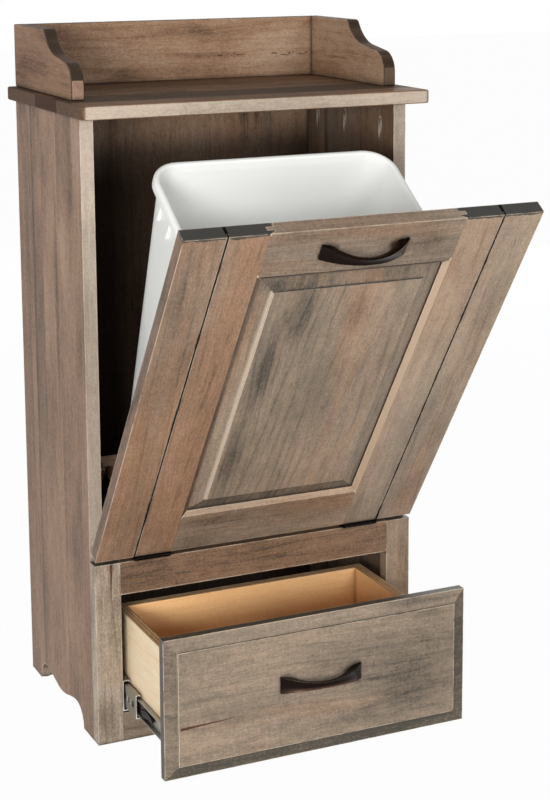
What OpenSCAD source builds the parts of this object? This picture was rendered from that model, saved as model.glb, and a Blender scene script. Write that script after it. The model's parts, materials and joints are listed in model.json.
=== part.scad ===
// Free-standing wooden cabinet with a tilt-out door that carries a waste bin and a drawer below it.
// Millimetres, +Z up, -Y is the front. The origin is on the floor in the middle of the footprint.
// The door is drawn tilted out on its stop and the drawer partly pulled out.

/* [Cabinet] */
// Width over the two side panels
cab_w = 495.3; // [460:1:620]
// Depth of the side panels, behind the face frame
side_d = 292.1; // [285:1:380]
// Height from the floor to the underside of the top board
case_h = 889; // [840:1:960]
// Thickness of the solid boards
board_t = 19.05; // [17:0.25:21]
// Thickness of the back panel
back_t = 6.35; // [4:0.25:9]
// Width of the rabbet that takes the back panel's edge
rabbet_w = 9.5; // [6:0.5:12]
// Height of the gap between the floor and the back panel
back_lift = 25; // [15:1:40]

/* [Feet] */
// Length of each foot of a side panel along the floor
foot_w = 45; // [35:1:60]
// Height of the humps of the cut-out between the feet
scallop_h = 30; // [22:1:40]
// Height of the cut-out at the drop in its middle
scallop_dip = 18; // [12:1:20]
// Radius of a glide under a foot
glide_r = 8; // [5:0.5:9]
// Height of a glide
glide_h = 2; // [1:0.5:4]
// Distance of the front glides behind the side panel's front edge
glide_front = 11; // [10:1:25]
// Distance of the rear glides in front of the side panel's rear edge
glide_rear = 35; // [12:1:35]
// Height of the rail between the rear feet
rear_rail_h = 42; // [30:1:44]
// Distance of the rear rail's back from the rear edge
rear_rail_inset = 30; // [20:1:32]

/* [Top board and gallery] */
// Overhang of the top board past each side panel
top_side = 12.7; // [5:0.5:30]
// Overhang of the top board in front of the side panels
top_front = 50.8; // [40:0.5:70]
// Corner radius of the top board at the front
top_corner = 8; // [2:0.5:20]
// Height of the gallery above the top board
gallery_h = 91; // [70:1:130]
// Distance of the gallery ends' noses behind the side panels' front edges
gallery_setback = 31; // [0:1:60]
// Height of a gallery end over the middle of its nose
nose_h = 50.5; // [40:0.5:56]
// Radius of the nose
nose_r = 31; // [10:1:34]
// Tilt of the straight stretch between the nose and the cove
shelf_tilt = 8.5; // [0:0.5:15]
// Distance from the nose's front to the low end of the cove
nose_run = 68; // [50:1:80]
// Radius of the cove that rises to the crest
cove_r = 68; // [50:1:90]
// Radius of the crest, where the cove meets the full height
crest_r = 9; // [4:1:14]

/* [Face frame] */
// Width of the frame's stiles
stile_w = 38.1; // [34:0.1:45]
// Height of the rail between the door and the drawer
mid_rail_h = 47.6; // [38:0.1:60]
// Height of the frame's top edge above the floor
frame_h = 266.7; // [255:0.1:300]
// Height of the bottom rail's top edge above the floor
base_rail_h = 44.45; // [38:0.05:46]

/* [Door] */
// Gap under the closed door
door_gap = 5; // [4.6:0.1:7]
// Gap between the closed door and the top board
door_head_gap = 3.3; // [2:0.1:6]
// Gap between the closed door and the side panels
door_rest_gap = 0.5; // [0.4:0.1:2]
// Angle by which the door is tilted out on its stop
tilt = 34.5; // [25:0.5:38]
// Width of the door's stiles with their moulded edge
door_stile_w = 120; // [90:1:130]
// Width of the door's bottom rail with its moulded edge
door_rail_low = 84; // [60:1:100]
// Width of the door's top rail with its moulded edge
door_rail_high = 81; // [65:1:100]
// Width of the moulded inner edge
moulding_w = 8; // [4:0.5:12]
// Depth of the moulded inner edge
moulding_d = 4.5; // [2:0.5:5.5]
// Depth of the grooves that hold the panel and the rails' tongues
groove_deep = 10; // [6:0.5:14]
// Width of those grooves
groove_t = 6.35; // [4:0.05:7]
// Distance of the decorative kerf from the door's side
kerf_x = 57.5; // [40:0.5:70]
// Width of the kerf
kerf_w = 2.2; // [1:0.1:4]
// Depth of the kerf
kerf_d = 5; // [2:0.5:8]
// Width of the bevel round the raised panel's field
panel_bevel = 22; // [12:1:35]
// Depth of the raised field below the door's face
field_drop = 0.8; // [0.4:0.1:3]

/* [Hinges] */
// Length of a hinge
hinge_len = 52; // [40:1:60]
// Distance of a hinge from the door's side
hinge_x = 59; // [40:1:65]
// Radius of the hinge barrel
barrel_r = 3; // [2.6:0.1:3.2]
// Distance of the barrel's axis in front of the door's face
barrel_out = 1.95; // [1.9:0.05:3]
// Radius of the hinge pin
pin_r = 1.25; // [1:0.05:1.5]
// Thickness of a hinge leaf
leaf_t = 1.6; // [1.2:0.1:1.8]
// Width of a hinge leaf behind the barrel's axis
leaf_w = 19; // [14:0.5:19]

/* [Bin carrier] */
// Thickness of the base board and of the rail behind it
carrier_t = 19; // [15:0.5:22]
// Depth of the base board behind the door
carrier_d = 131; // [110:1:140]
// Thickness of one ply of a bracket
ply_t = 12.7; // [9:0.1:15]
// Clearance between the bin's side and a bracket's top
bracket_gap = 3.8; // [3:0.1:6]
// Height of a bracket along the door's back
bracket_rise = 150; // [110:1:200]
// Distance of the stop rail's end from the cabinet's side
rail_end = 30; // [28:1:40]
// Length of a tilt stop block
stop_len = 45; // [30:1:60]
// Height of a tilt stop block
stop_h = 26; // [20:1:35]
// Width of a tilt stop block, out from the side panel
stop_w = 25; // [18:1:28]

/* [Bin] */
// Width of the bin over its rim
bin_w = 361; // [330:1:364]
// Depth of the bin over its rim
bin_d = 253; // [225:1:262]
// Height of the bin
bin_h = 469; // [400:1:480]
// Distance of the rim from the door's back
bin_gap = 5; // [4.5:0.5:8]
// How much narrower the bin's bottom is than its rim on each side
bin_taper = 33; // [28:1:45]
// How far the bin's bottom is drawn in behind its front
bin_front_in = 16; // [8:1:25]
// How far the bin's bottom is drawn in at its back
bin_back_in = 62; // [40:1:75]
// Thickness of the bin's wall
bin_wall = 2.5; // [1.5:0.1:4]
// Height of the turned-down rim
rim_h = 14; // [8:1:20]
// Width by which the rim stands out past the wall
rim_out = 6.5; // [5:0.5:10]
// Corner radius of the rim
bin_corner = 42; // [25:1:60]
// How far the bin can be lifted out with the door shut
bin_lift = 120; // [60:1:120]

/* [Drawer] */
// How far the drawer is pulled out
drawer_out = 186; // [0:1:250]
// Gap behind the drawer's front when it is shut
drawer_gap = 0.95; // [0.5:0.05:2]
// Overlap of the drawer's front on the frame at each side
overlay_side = 15.4; // [8:0.1:20]
// Overlap of the drawer's front on the bottom rail
overlay_low = 11.4; // [6:0.1:20]
// Overlap of the drawer's front on the middle rail
overlay_high = 7.9; // [5:0.1:20]
// Width of the bevelled border of the drawer's front
front_bevel = 18; // [10:1:30]
// Thickness of the drawer's front at its edge
front_edge = 13; // [9:0.5:15]
// Thickness of the drawer box's sides
box_t = 14.3; // [11:0.1:17]
// Height of the drawer box
box_h = 125.5; // [100:0.5:140]
// Height of the drawer box above the bottom rail
box_lift = 11.55; // [8:0.05:13]
// Length of the drawer box behind the front
box_len = 250; // [245:1:250]
// Thickness of the drawer's bottom
bottom_t = 6.35; // [4:0.05:9]
// Height of the drawer's bottom above the sides' lower edges
bottom_up = 9.5; // [8:0.5:14]
// Depth of the grooves for the drawer's bottom
bottom_groove = 6; // [4:0.5:8]

/* [Drawer slides] */
// Width of the gap that a slide fills
slide_t = 12.7; // [12.7:0.1:13.5]
// Height of the slide's outer member
slide_h = 45; // [43:0.5:46]
// Height of the slide's middle above the floor
slide_z = 69; // [68:0.5:74]
// Length of the slide
slide_len = 254; // [250:1:254]
// Length of the middle member
middle_len = 200; // [190:1:205]
// Distance of the middle member's front end ahead of the outer member's
middle_out = 44; // [30:1:60]
// Thickness of the slide's steel
steel_t = 1.2; // [1:0.1:1.4]
// Radius of a bearing ball
ball_r = 2; // [1.5:0.1:2.2]
// Length of a ball cage
cage_len = 58; // [40:1:70]
// Number of balls in a row
balls = 5; // [3:1:7]

/* [Pulls] */
// Length of a pull
pull_len = 120; // [110:1:140]
// Distance between a pull's screws
pull_screws = 101.6; // [96:0.1:106]
// How far a pull stands out
pull_out = 27; // [22:1:35]
// Height of a pull at its ends
pull_end_h = 23; // [16:1:28]
// Height of a pull in its middle
pull_mid_h = 8; // [6:1:14]
// Thickness of a pull's foot at its end
pull_foot = 3; // [1:0.5:5]
// Length of a pull's foot
pull_foot_len = 14; // [12:0.5:18]
// Thickness of a pull in its middle
pull_t = 6; // [4:0.5:9]
// Height of the door's pull below the door's top edge
door_pull_drop = 37; // [30:1:45]
// Height of the drawer's pull above the middle of its front
drawer_pull_up = 9; // [0:1:20]

/* [Fasteners] */
// Radius of the screws of the pulls, the carrier and the stops
bolt_r = 2; // [1.5:0.1:2.2]
// Radius of a small screw in a hinge or a slide
screw_r = 1.5; // [1.2:0.1:1.6]
// Radius of a pocket hole
pocket_r = 4.75; // [4:0.05:5.5]
// Angle of a pocket hole to the panel
pocket_angle = 15; // [12:1:18]
// Distance of a pocket hole below the top board
pocket_drop = 46; // [42:1:52]
// Distance of the outer pocket holes from the panel's edges
pocket_inset = 42; // [30:1:60]
// Distance of the middle pocket hole from the panel's front edge
pocket_mid = 157; // [130:1:170]

/* [Hidden] */
$fn = 48;

// Clearances and small allowances
seat = 0.3;        // between pieces that move against or stand on each other
fit = 0.05;        // round a screw, pin or ball
tongue_gap = 1;    // at the end of a tongue in its groove
cut = 1;           // how far a cutting shape runs past the surface

// Colours
wood = [0.60, 0.53, 0.46];
wood_dark = [0.49, 0.40, 0.32];
maple = [0.87, 0.75, 0.58];
bronze = [0.16, 0.14, 0.12];
zinc = [0.72, 0.73, 0.74];
white = [0.90, 0.91, 0.91];
black = [0.12, 0.12, 0.12];

// Cabinet, derived
half_w = cab_w / 2;
inner_x = half_w - board_t;              // side panel's inner face
stile_x = half_w - stile_w;              // frame stile's inner edge
foot_d = side_d + board_t;
frame_y = -foot_d / 2;                   // front face of the face frame
side_y = frame_y + board_t;              // front edges of the side panels
rear_y = foot_d / 2;
back_y = rear_y - back_t;                // inner face of the back panel
rail_low_z = frame_h - mid_rail_h;       // underside of the middle rail

// Door, derived; all in the closed pose
door_back_y = side_y - door_rest_gap;
door_y = door_back_y - board_t;          // front face
door_z = frame_h + door_gap;             // bottom edge
door_h = case_h - door_head_gap - door_z;
hinge_y = door_y - barrel_out;
hinge_z = frame_h + door_gap / 2;
groove_y = door_y + (board_t - groove_t) / 2;
opening_x = half_w - door_stile_w;       // half width of the panel's opening
opening_z = door_z + door_rail_low;
opening_h = door_h - door_rail_low - door_rail_high;

// Carrier and bin, derived; closed pose
base_end_y = door_back_y + carrier_d;
bin_y = door_back_y + bin_gap;
bin_z = door_z + carrier_t + seat;
bin_spread = (bin_taper - rim_out) * (bracket_rise - carrier_t) / bin_h;   // at a bracket's top
bracket_in_x = bin_w / 2 - bin_taper + bin_spread + bracket_gap;
bracket_x = half_w - bracket_in_x - 2 * ply_t;   // outer face, from the cabinet's side

// Drawer and slides, derived; with the drawer pulled out
front_back_y = frame_y - drawer_gap - drawer_out;
front_z = base_rail_h - overlay_low;
front_w = 2 * (stile_x + overlay_side);
front_h = rail_low_z + overlay_high - front_z;
box_x = stile_x - slide_t;               // outer face of the drawer's sides
box_z = base_rail_h + box_lift;
slide_y = frame_y + 1;                   // front end of the outer member
middle_y = slide_y - middle_out;
inner_y = front_back_y + 2;              // front end of the inner member
inner_len = box_len - 2;
ball_gap = 2 * ball_r + 2 * fit;         // running gap that a row of balls fills
middle_h = slide_h - 2 * (steel_t + ball_gap);
inner_h = middle_h - 2 * (steel_t + ball_gap);
web_gap = 1.8;                           // between the webs of the outer and middle members
ball_x = web_gap + 2 * steel_t + ball_r + seat;

// Placing
module on_left() {
    children();
}

module on_right() {
    mirror([1, 0, 0])
        children();
}

module on_both() {
    on_left() children();
    on_right() children();
}

module box(low, high) {
    translate(low)
        cube(high - low);
}

// Turns a closed-pose shape about the hinge to the stop
module door_pose() {
    translate([0, hinge_y, hinge_z])
        rotate([tilt, 0, 0])
            translate([0, -hinge_y, -hinge_z])
                children();
}

// An outline in Y and Z, extruded along +X from x
module slab_x(x, thick) {
    translate([x, 0, 0])
        rotate([90, 0, 90])
            linear_extrude(thick)
                children();
}

// A screw along +Z: head below z = 0 and shank above it
module screw(r, head_r, head_h, length) {
    translate([0, 0, -head_h])
        cylinder(r = head_r, h = head_h);
    translate([0, 0, -head_h / 2])
        cylinder(r = r, h = length + head_h / 2);
}

module screw_hole(r, head_r, head_h, length) {
    screw(r + fit, head_r + fit, head_h + cut, length + fit);
}

module bore(r, length) {
    translate([0, 0, -cut])
        cylinder(r = r + fit, h = length + 2 * cut);
}

// Side panels
function foot_arc() = [for (a = [180:-10:90])
    [foot_w + scallop_h * (1 + cos(a)), scallop_h * sin(a)]];

function foot_wave(run) = [for (u = [0.1:0.1:1.01])
    [foot_w + scallop_h + run * u,
     (scallop_h + scallop_dip) / 2 + (scallop_h - scallop_dip) / 2 * cos(180 * u)]];

module scallop() {
    half = concat(foot_arc(), foot_wave(side_d / 2 - foot_w - scallop_h));
    n = len(half);
    back = [for (i = [n - 2:-1:0]) [side_d - half[i][0], half[i][1]]];
    polygon(concat([[foot_w, -cut]], half, back, [[side_d - foot_w, -cut]]));
}

module side_outline() {
    difference() {
        translate([side_y, glide_h])
            square([side_d, case_h - glide_h]);
        translate([side_y, glide_h])
            scallop();
    }
}

// Along a pocket hole of the left panel, from the mouth's middle up to the top board
module pocket_axes() {
    for (y = [pocket_inset, pocket_mid, side_d - pocket_inset])
        translate([-inner_x, side_y + y, case_h - pocket_drop])
            rotate([0, -pocket_angle, 0])
                children();
}

pocket_seat = 24;                        // from the mouth's middle to the screw's head
pocket_screw_len = 32;

module pocket_bores() {
    pocket_axes() {
        translate([0, 0, -2 * pocket_drop])
            cylinder(r = pocket_r, h = 2 * pocket_drop + pocket_seat);
        translate([0, 0, pocket_seat - cut])
            cylinder(r = bolt_r + fit, h = pocket_screw_len + cut + fit);
    }
}

module side_panel() {
    color(wood)
        difference() {
            slab_x(-half_w, board_t)
                side_outline();
            box([-inner_x - rabbet_w, back_y, back_lift], [-inner_x + cut, rear_y + cut, case_h + cut]);
            pocket_bores();
            stop_screw_holes();
        }
}

module side_panel_left() on_left() side_panel();

module side_panel_right() on_right() side_panel();

module back_panel() {
    color(wood_dark)
        box([-inner_x - rabbet_w, back_y, back_lift], [inner_x + rabbet_w, rear_y, case_h]);
}

module rear_bottom_rail() {
    color(wood)
        box([-inner_x, rear_y - rear_rail_inset - board_t, glide_h],
            [inner_x, rear_y - rear_rail_inset, rear_rail_h]);
}

module bay_floor() {
    color(wood_dark)
        box([-inner_x, side_y, frame_h - board_t], [inner_x, back_y, frame_h]);
}

module foot_glides() {
    color(black)
        on_both()
            for (y = [glide_front, side_d - glide_rear])
                translate([-half_w + board_t / 2, side_y + y, 0])
                    cylinder(r = glide_r, h = glide_h);
}

// Top board and gallery
module top_outline() {
    w = half_w + top_side;
    y0 = side_y - top_front;
    translate([-w, y0 + top_corner])
        square([2 * w, rear_y - y0 - top_corner]);
    translate([-w + top_corner, y0])
        square([2 * (w - top_corner), 2 * top_corner]);
    for (s = [-1, 1])
        translate([s * (w - top_corner), y0 + top_corner])
            circle(top_corner);
}

module top_board() {
    color(wood)
        difference() {
            translate([0, 0, case_h])
                linear_extrude(board_t)
                    top_outline();
            on_both()
                pocket_bores();
        }
}

module gallery_back() {
    color(wood)
        translate([0, 0, case_h + board_t])
            box([-inner_x, rear_y - board_t, 0], [inner_x, rear_y, gallery_h]);
}

function arc(centre, radius, from, to, steps) =
    [for (i = [0 : steps]) let (a = from + (to - from) * i / steps) centre + radius * [cos(a), sin(a)]];

module gallery_outline() {
    front = side_y + gallery_setback;
    // square to the straight stretch between the nose and the cove
    upright = 90 + shelf_tilt;
    nose = [front + nose_r, nose_h - nose_r];
    shelf_front = nose + nose_r * [cos(upright), sin(upright)];
    shelf_y = front + nose_run;
    shelf_z = shelf_front[1] + (shelf_y - shelf_front[0]) * tan(shelf_tilt);
    cove = [shelf_y, shelf_z] + cove_r * [cos(upright), sin(upright)];
    crest_z = gallery_h - crest_r;
    crest = [cove[0] + sqrt(pow(cove_r + crest_r, 2) - pow(crest_z - cove[1], 2)), crest_z];
    // direction in which the cove runs into the crest
    foot_a = atan2(crest[1] - cove[1], crest[0] - cove[0]);
    polygon(concat(
        [[front, 0]],
        arc(nose, nose_r, 180, upright, 12),
        arc(cove, cove_r, upright - 180, foot_a, 14),
        arc(crest, crest_r, foot_a + 180, 90, 6),
        [[rear_y, gallery_h], [rear_y, 0]]));
}

module gallery_end() {
    color(wood)
        translate([0, 0, case_h + board_t])
            slab_x(-half_w, board_t)
                gallery_outline();
}

module gallery_left() on_left() gallery_end();

module gallery_right() on_right() gallery_end();

// Face frame
module frame_stile() {
    color(wood)
        box([-half_w, frame_y, glide_h], [-stile_x, side_y, frame_h]);
}

module frame_stile_left() on_left() frame_stile();

module frame_stile_right() on_right() frame_stile();

module frame_rail_middle() {
    color(wood)
        difference() {
            box([-stile_x, frame_y, rail_low_z], [stile_x, side_y, frame_h]);
            frame_hinge_screws(true);
        }
}

module frame_rail_bottom() {
    color(wood)
        box([-stile_x, frame_y, glide_h], [stile_x, side_y, base_rail_h]);
}

// Hinges, drawn in the closed pose about the X line through hinge_y and hinge_z
knuckles = 5;
knuckle_len = hinge_len / knuckles;
knuckle_gap = 0.3;
pin_head_h = 1.2;
pin_head_r = 2.4;
hinge_screw_y = side_y - board_t / 2;     // middle of the rail that the frame leaf lies on
hinge_screw_len = 14;
hinge_head_h = 1.1;
hinge_screw_in = 10;                     // from a leaf's end to its screw

module hinge_places() {
    on_both()
        translate([-half_w + hinge_x, 0, 0])
            children();
}

module knuckle(i) {
    translate([i * knuckle_len + knuckle_gap / 2, hinge_y, hinge_z])
        rotate([0, 90, 0])
            cylinder(r = barrel_r, h = knuckle_len - knuckle_gap);
}

module pin_bore() {
    translate([-cut, hinge_y, hinge_z])
        rotate([0, 90, 0])
            cylinder(r = pin_r + fit, h = hinge_len + 2 * cut);
}

// One leaf: plate from z0 to z1, own knuckles, and notches for the other leaf's knuckles
module leaf(own, other, z0, z1) {
    notch = barrel_r + seat;
    difference() {
        union() {
            box([0, hinge_y, z0], [hinge_len, hinge_y + leaf_w, z1]);
            for (i = own)
                knuckle(i);
        }
        for (i = other)
            box([i * knuckle_len - knuckle_gap / 2, hinge_y - notch, hinge_z - notch],
                [(i + 1) * knuckle_len + knuckle_gap / 2, hinge_y + notch, hinge_z + notch]);
        pin_bore();
    }
}

module hinge_screw_places() {
    for (x = [hinge_screw_in, hinge_len - hinge_screw_in])
        translate([x, hinge_screw_y, 0])
            children();
}

// Screws of the frame leaves point down and those of the door leaves point up
module frame_hinge_screws(hole) {
    hinge_places()
        hinge_screw_places()
            translate([0, 0, frame_h + leaf_t - hinge_head_h])
                mirror([0, 0, 1])
                    if (hole)
                        screw_hole(screw_r, 2 * screw_r, hinge_head_h, hinge_screw_len);
                    else
                        screw(screw_r, 2 * screw_r, hinge_head_h, hinge_screw_len);
}

module door_hinge_screws(hole) {
    hinge_places()
        hinge_screw_places()
            translate([0, 0, door_z - leaf_t + hinge_head_h])
                if (hole)
                    screw_hole(screw_r, 2 * screw_r, hinge_head_h, hinge_screw_len);
                else
                    screw(screw_r, 2 * screw_r, hinge_head_h, hinge_screw_len);
}

module hinge_leaves_frame() {
    color(bronze)
        difference() {
            hinge_places()
                leaf([0, 2, 4], [1, 3], frame_h, frame_h + leaf_t);
            frame_hinge_screws(true);
        }
}

module hinge_leaves_door() {
    color(bronze)
        door_pose()
            difference() {
                hinge_places()
                    leaf([1, 3], [0, 2, 4], door_z - leaf_t, door_z);
                door_hinge_screws(true);
            }
}

module hinge_pins() {
    color(bronze)
        hinge_places()
            translate([0, hinge_y, hinge_z])
                rotate([0, 90, 0]) {
                    cylinder(r = pin_r, h = hinge_len);
                    translate([0, 0, -pin_head_h])
                        cylinder(r = pin_head_r, h = pin_head_h);
                    translate([0, 0, hinge_len])
                        cylinder(r = pin_head_r, h = pin_head_h);
                }
}

module hinge_screws_frame() {
    color(bronze)
        frame_hinge_screws(false);
}

module hinge_screws_door() {
    color(bronze)
        door_pose()
            door_hinge_screws(false);
}

// Door frame; the section of a moulded edge is in X and Y, the edge at x = 0 and the face at y = 0
module moulding_cut() {
    slope = moulding_d / moulding_w;
    polygon([[-moulding_w, 0], [-moulding_w - cut, -cut], [cut, -cut], [cut, moulding_d + cut * slope]]);
}

// The left stile, with its moulded edge and groove running from end to end
module door_stile_body() {
    difference() {
        box([-half_w, door_y, door_z], [-opening_x, door_back_y, door_z + door_h]);
        translate([-opening_x, door_y, door_z - cut])
            linear_extrude(door_h + 2 * cut)
                moulding_cut();
        box([-opening_x - groove_deep, groove_y, door_z - cut],
            [-opening_x + cut, groove_y + groove_t, door_z + door_h + cut]);
    }
}

module door_stile() {
    color(wood)
        door_pose()
            difference() {
                door_stile_body();
                box([-half_w + kerf_x - kerf_w / 2, door_y - cut, door_z - cut],
                    [-half_w + kerf_x + kerf_w / 2, door_y + kerf_d, door_z + door_h + cut]);
                door_hinge_screws(true);
                carrier_foot_holes();
            }
}

module door_stile_left() on_left() door_stile();

module door_stile_right() on_right() door_stile();

// A rail whose moulded inner edge is at z_in; dir is 1 for the bottom rail and -1 for the top one
module door_rail(z_out, z_in, dir) {
    low = min(z_out, z_in);
    high = max(z_out, z_in);
    face_x = opening_x + moulding_w;
    tongue_x = opening_x + groove_deep;
    difference() {
        union() {
            box([-face_x, door_y, low], [face_x, door_back_y, high]);
            box([-tongue_x, groove_y, low], [tongue_x, groove_y + groove_t, high]);
        }
        on_both()
            door_stile_body();
        translate([-half_w, door_y, z_in])
            mirror([0, 0, dir > 0 ? 0 : 1])
                rotate([90, 0, 90])
                    linear_extrude(2 * half_w)
                        rail_moulding_cut();
        box([-tongue_x - cut, groove_y, z_in - (dir > 0 ? groove_deep : cut)],
            [tongue_x + cut, groove_y + groove_t, z_in + (dir > 0 ? cut : groove_deep)]);
    }
}

// The same section with the edge along X, in Y and Z
module rail_moulding_cut() {
    slope = moulding_d / moulding_w;
    polygon([[0, -moulding_w], [-cut, -moulding_w - cut], [-cut, cut], [moulding_d + cut * slope, cut]]);
}

module door_rail_top() {
    color(wood)
        door_pose()
            difference() {
                door_rail(door_z + door_h, opening_z + opening_h, -1);
                door_pull_axes()
                    bore(bolt_r, board_t);
            }
}

module door_rail_bottom() {
    color(wood)
        door_pose()
            door_rail(door_z, opening_z, 1);
}

// A board with a raised field: back face on y = 0, front towards -Y, centred on x = 0
module raised_board(w, h, bevel, edge_t, step_t, full_t) {
    box([-w / 2, -edge_t, 0], [w / 2, 0, h]);
    hull() {
        box([-w / 2, -edge_t, 0], [w / 2, -edge_t + slice_t, h]);
        box([-w / 2 + bevel, -step_t, bevel], [w / 2 - bevel, -step_t + slice_t, h - bevel]);
    }
    box([-w / 2 + bevel, -full_t, bevel], [w / 2 - bevel, -step_t, h - bevel]);
}

panel_step = 1.8;                        // small step at the edge of a raised field
panel_back = 3;                          // depth of the panel's back below the door's back

module door_panel() {
    show = 0.5;                          // between the bevel's foot and the moulded edges
    reach = groove_deep - tongue_gap;
    tongue_front = door_back_y - (groove_y + seat);
    color(wood)
        door_pose() {
            box([-opening_x - reach, groove_y + seat, opening_z - reach],
                [opening_x + reach, groove_y + groove_t - seat, opening_z + opening_h + reach]);
            translate([0, door_back_y - panel_back, opening_z + show])
                raised_board(2 * (opening_x - show), opening_h - 2 * show, panel_bevel,
                    tongue_front - panel_back, board_t - panel_back - field_drop - panel_step,
                    board_t - panel_back - field_drop);
        }
}

// Pulls: back of the feet on y = 0, bow towards -Y, centred on the origin
module pull_plan() {
    half = pull_len / 2;
    rise = pull_out - pull_foot;
    outer_r = (half * half + rise * rise) / (2 * rise);
    inner_half = half - pull_foot_len;
    inner_rise = pull_out - pull_t;
    inner_r = (inner_half * inner_half + inner_rise * inner_rise) / (2 * inner_rise);
    difference() {
        union() {
            intersection() {
                translate([0, outer_r - pull_out])
                    circle(outer_r, $fn = 180);
                translate([-half, -pull_out])
                    square([pull_len, rise]);
            }
            translate([-half, -pull_foot])
                square([pull_len, pull_foot]);
        }
        translate([0, inner_r - inner_rise])
            circle(inner_r, $fn = 180);
    }
}

module pull_face() {
    half = pull_len / 2;
    flare = (pull_end_h - pull_mid_h) / 2;
    flare_r = (half * half + flare * flare) / (2 * flare);
    difference() {
        square([pull_len, pull_end_h], center = true);
        for (s = [-1, 1])
            translate([0, s * (pull_mid_h / 2 + flare_r)])
                circle(flare_r, $fn = 180);
    }
}

pull_bore = 6;                           // depth of the threaded holes in a pull

module pull_body() {
    difference() {
        intersection() {
            translate([0, 0, -pull_end_h / 2])
                linear_extrude(pull_end_h)
                    pull_plan();
            rotate([90, 0, 0])
                translate([0, 0, -cut])
                    linear_extrude(pull_out + 2 * cut)
                        pull_face();
        }
        for (s = [-1, 1])
            translate([s * pull_screws / 2, cut, 0])
                rotate([90, 0, 0])
                    cylinder(r = bolt_r + fit, h = pull_bore + cut);
    }
}

bolt_head_r = 4;
bolt_head_h = 2.2;

// Screw axes from the back of what holds the pull, pointing forward
module door_pull_axes() {
    for (s = [-1, 1])
        translate([s * pull_screws / 2, door_back_y, door_z + door_h - door_pull_drop])
            rotate([90, 0, 0])
                children();
}

module door_pull() {
    color(bronze)
        door_pose()
            translate([0, door_y, door_z + door_h - door_pull_drop])
                pull_body();
}

module door_pull_screws() {
    color(zinc)
        door_pose()
            door_pull_axes()
                screw(bolt_r, bolt_head_r, bolt_head_h, board_t + pull_bore - 1);
}

// Bin carrier, in the closed pose
foot_screw_len = 12;
ply_screw_len = 2 * ply_t + 15;          // through both plies and into the base board

module carrier_base() {
    color(wood_dark)
        door_pose()
            difference() {
                box([-bracket_in_x, door_back_y, door_z], [bracket_in_x, base_end_y, door_z + carrier_t]);
                carrier_side_axes()
                    bore(bolt_r, ply_screw_len - bolt_head_h);
            }
}

module carrier_back_rail() {
    color(wood_dark)
        door_pose()
            box([-half_w + rail_end, base_end_y, door_z],
                [half_w - rail_end, base_end_y + carrier_t, door_z + carrier_t]);
}

// Screws through a bracket's plies into the base board
module carrier_side_axes() {
    on_both()
        for (y = [carrier_d * 0.3, carrier_d * 0.75])
            translate([-half_w + bracket_x, door_back_y + y, door_z + carrier_t / 2])
                rotate([0, 90, 0])
                    translate([0, 0, bolt_head_h])
                        children();
}

// Screws through the outer ply into the door's stile
module carrier_foot_holes() {
    carrier_foot_axes()
        screw_hole(screw_r, 2 * screw_r, foot_head_h, foot_screw_len);
}

module carrier_foot_axes() {
    for (z = [bracket_rise / 3, bracket_rise * 2 / 3])
        translate([-half_w + bracket_x + ply_t / 2, door_back_y, door_z + z])
            rotate([90, 0, 0])
                translate([0, 0, -foot_depth])
                    children();
}

foot_depth = 4;                          // wood of the ply under the head of such a screw
foot_head_h = 1.5;

module bracket_ply(x) {
    top_z = door_z + bracket_rise;
    color(maple)
        door_pose()
            difference() {
                slab_x(x, ply_t)
                    polygon([[door_back_y, door_z], [base_end_y, door_z], [base_end_y, door_z + carrier_t],
                        [door_back_y, top_z]]);
                carrier_side_axes()
                    screw_hole(bolt_r, 2 * bolt_r, bolt_head_h, ply_screw_len);
                carrier_foot_wells();
            }
}

// Counterbored holes for these screws
module carrier_foot_wells() {
    carrier_foot_axes() {
        screw_hole(screw_r, 2 * screw_r, foot_head_h, foot_screw_len);
        translate([0, 0, -carrier_d])
            cylinder(r = 2 * screw_r + fit, h = carrier_d);
    }
}

module bracket_left_outer_ply() on_left() bracket_ply(-half_w + bracket_x);

module bracket_left_inner_ply() on_left() bracket_ply(-half_w + bracket_x + ply_t);

module bracket_right_outer_ply() on_right() bracket_ply(-half_w + bracket_x);

module bracket_right_inner_ply() on_right() bracket_ply(-half_w + bracket_x + ply_t);

module carrier_screws() {
    color(zinc)
        door_pose() {
            carrier_side_axes()
                screw(bolt_r, 2 * bolt_r, bolt_head_h, ply_screw_len - bolt_head_h);
            on_both()
                carrier_foot_axes()
                    screw(screw_r, 2 * screw_r, foot_head_h, foot_screw_len);
        }
}

// Tilt stops: blocks on the side panels, over the ends of the stop rail when the door is out
stop_screw_len = stop_w + 10;

module tilt_stop() {
    color(wood)
        door_pose()
            difference() {
                box([-inner_x, base_end_y + carrier_t - stop_len, door_z + carrier_t + seat],
                    [-inner_x + stop_w, base_end_y + carrier_t, door_z + carrier_t + seat + stop_h]);
                stop_screw_axes()
                    screw_hole(bolt_r, 2 * bolt_r, bolt_head_h, stop_screw_len);
            }
}

module tilt_stop_left() on_left() tilt_stop();

module tilt_stop_right() on_right() tilt_stop();

// From the block's face towards the side panel, for the left block in the closed pose's frame
module stop_screw_axes() {
    for (y = [0.25, 0.75])
        translate([-inner_x + stop_w, base_end_y + carrier_t - stop_len * y,
            door_z + carrier_t + seat + stop_h / 2])
            rotate([0, -90, 0])
                translate([0, 0, bolt_head_h])
                    children();
}

module stop_screw_holes() {
    door_pose()
        stop_screw_axes()
            screw_hole(bolt_r, 2 * bolt_r, bolt_head_h, stop_screw_len);
}

module tilt_stop_screws() {
    color(zinc)
        on_both()
            door_pose()
                stop_screw_axes()
                    screw(bolt_r, 2 * bolt_r, bolt_head_h, stop_screw_len);
}

module pocket_screws() {
    color(zinc)
        on_both()
            pocket_axes()
                translate([0, 0, pocket_seat])
                    screw(bolt_r, pocket_r - 1, bolt_head_h, pocket_screw_len);
}

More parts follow.
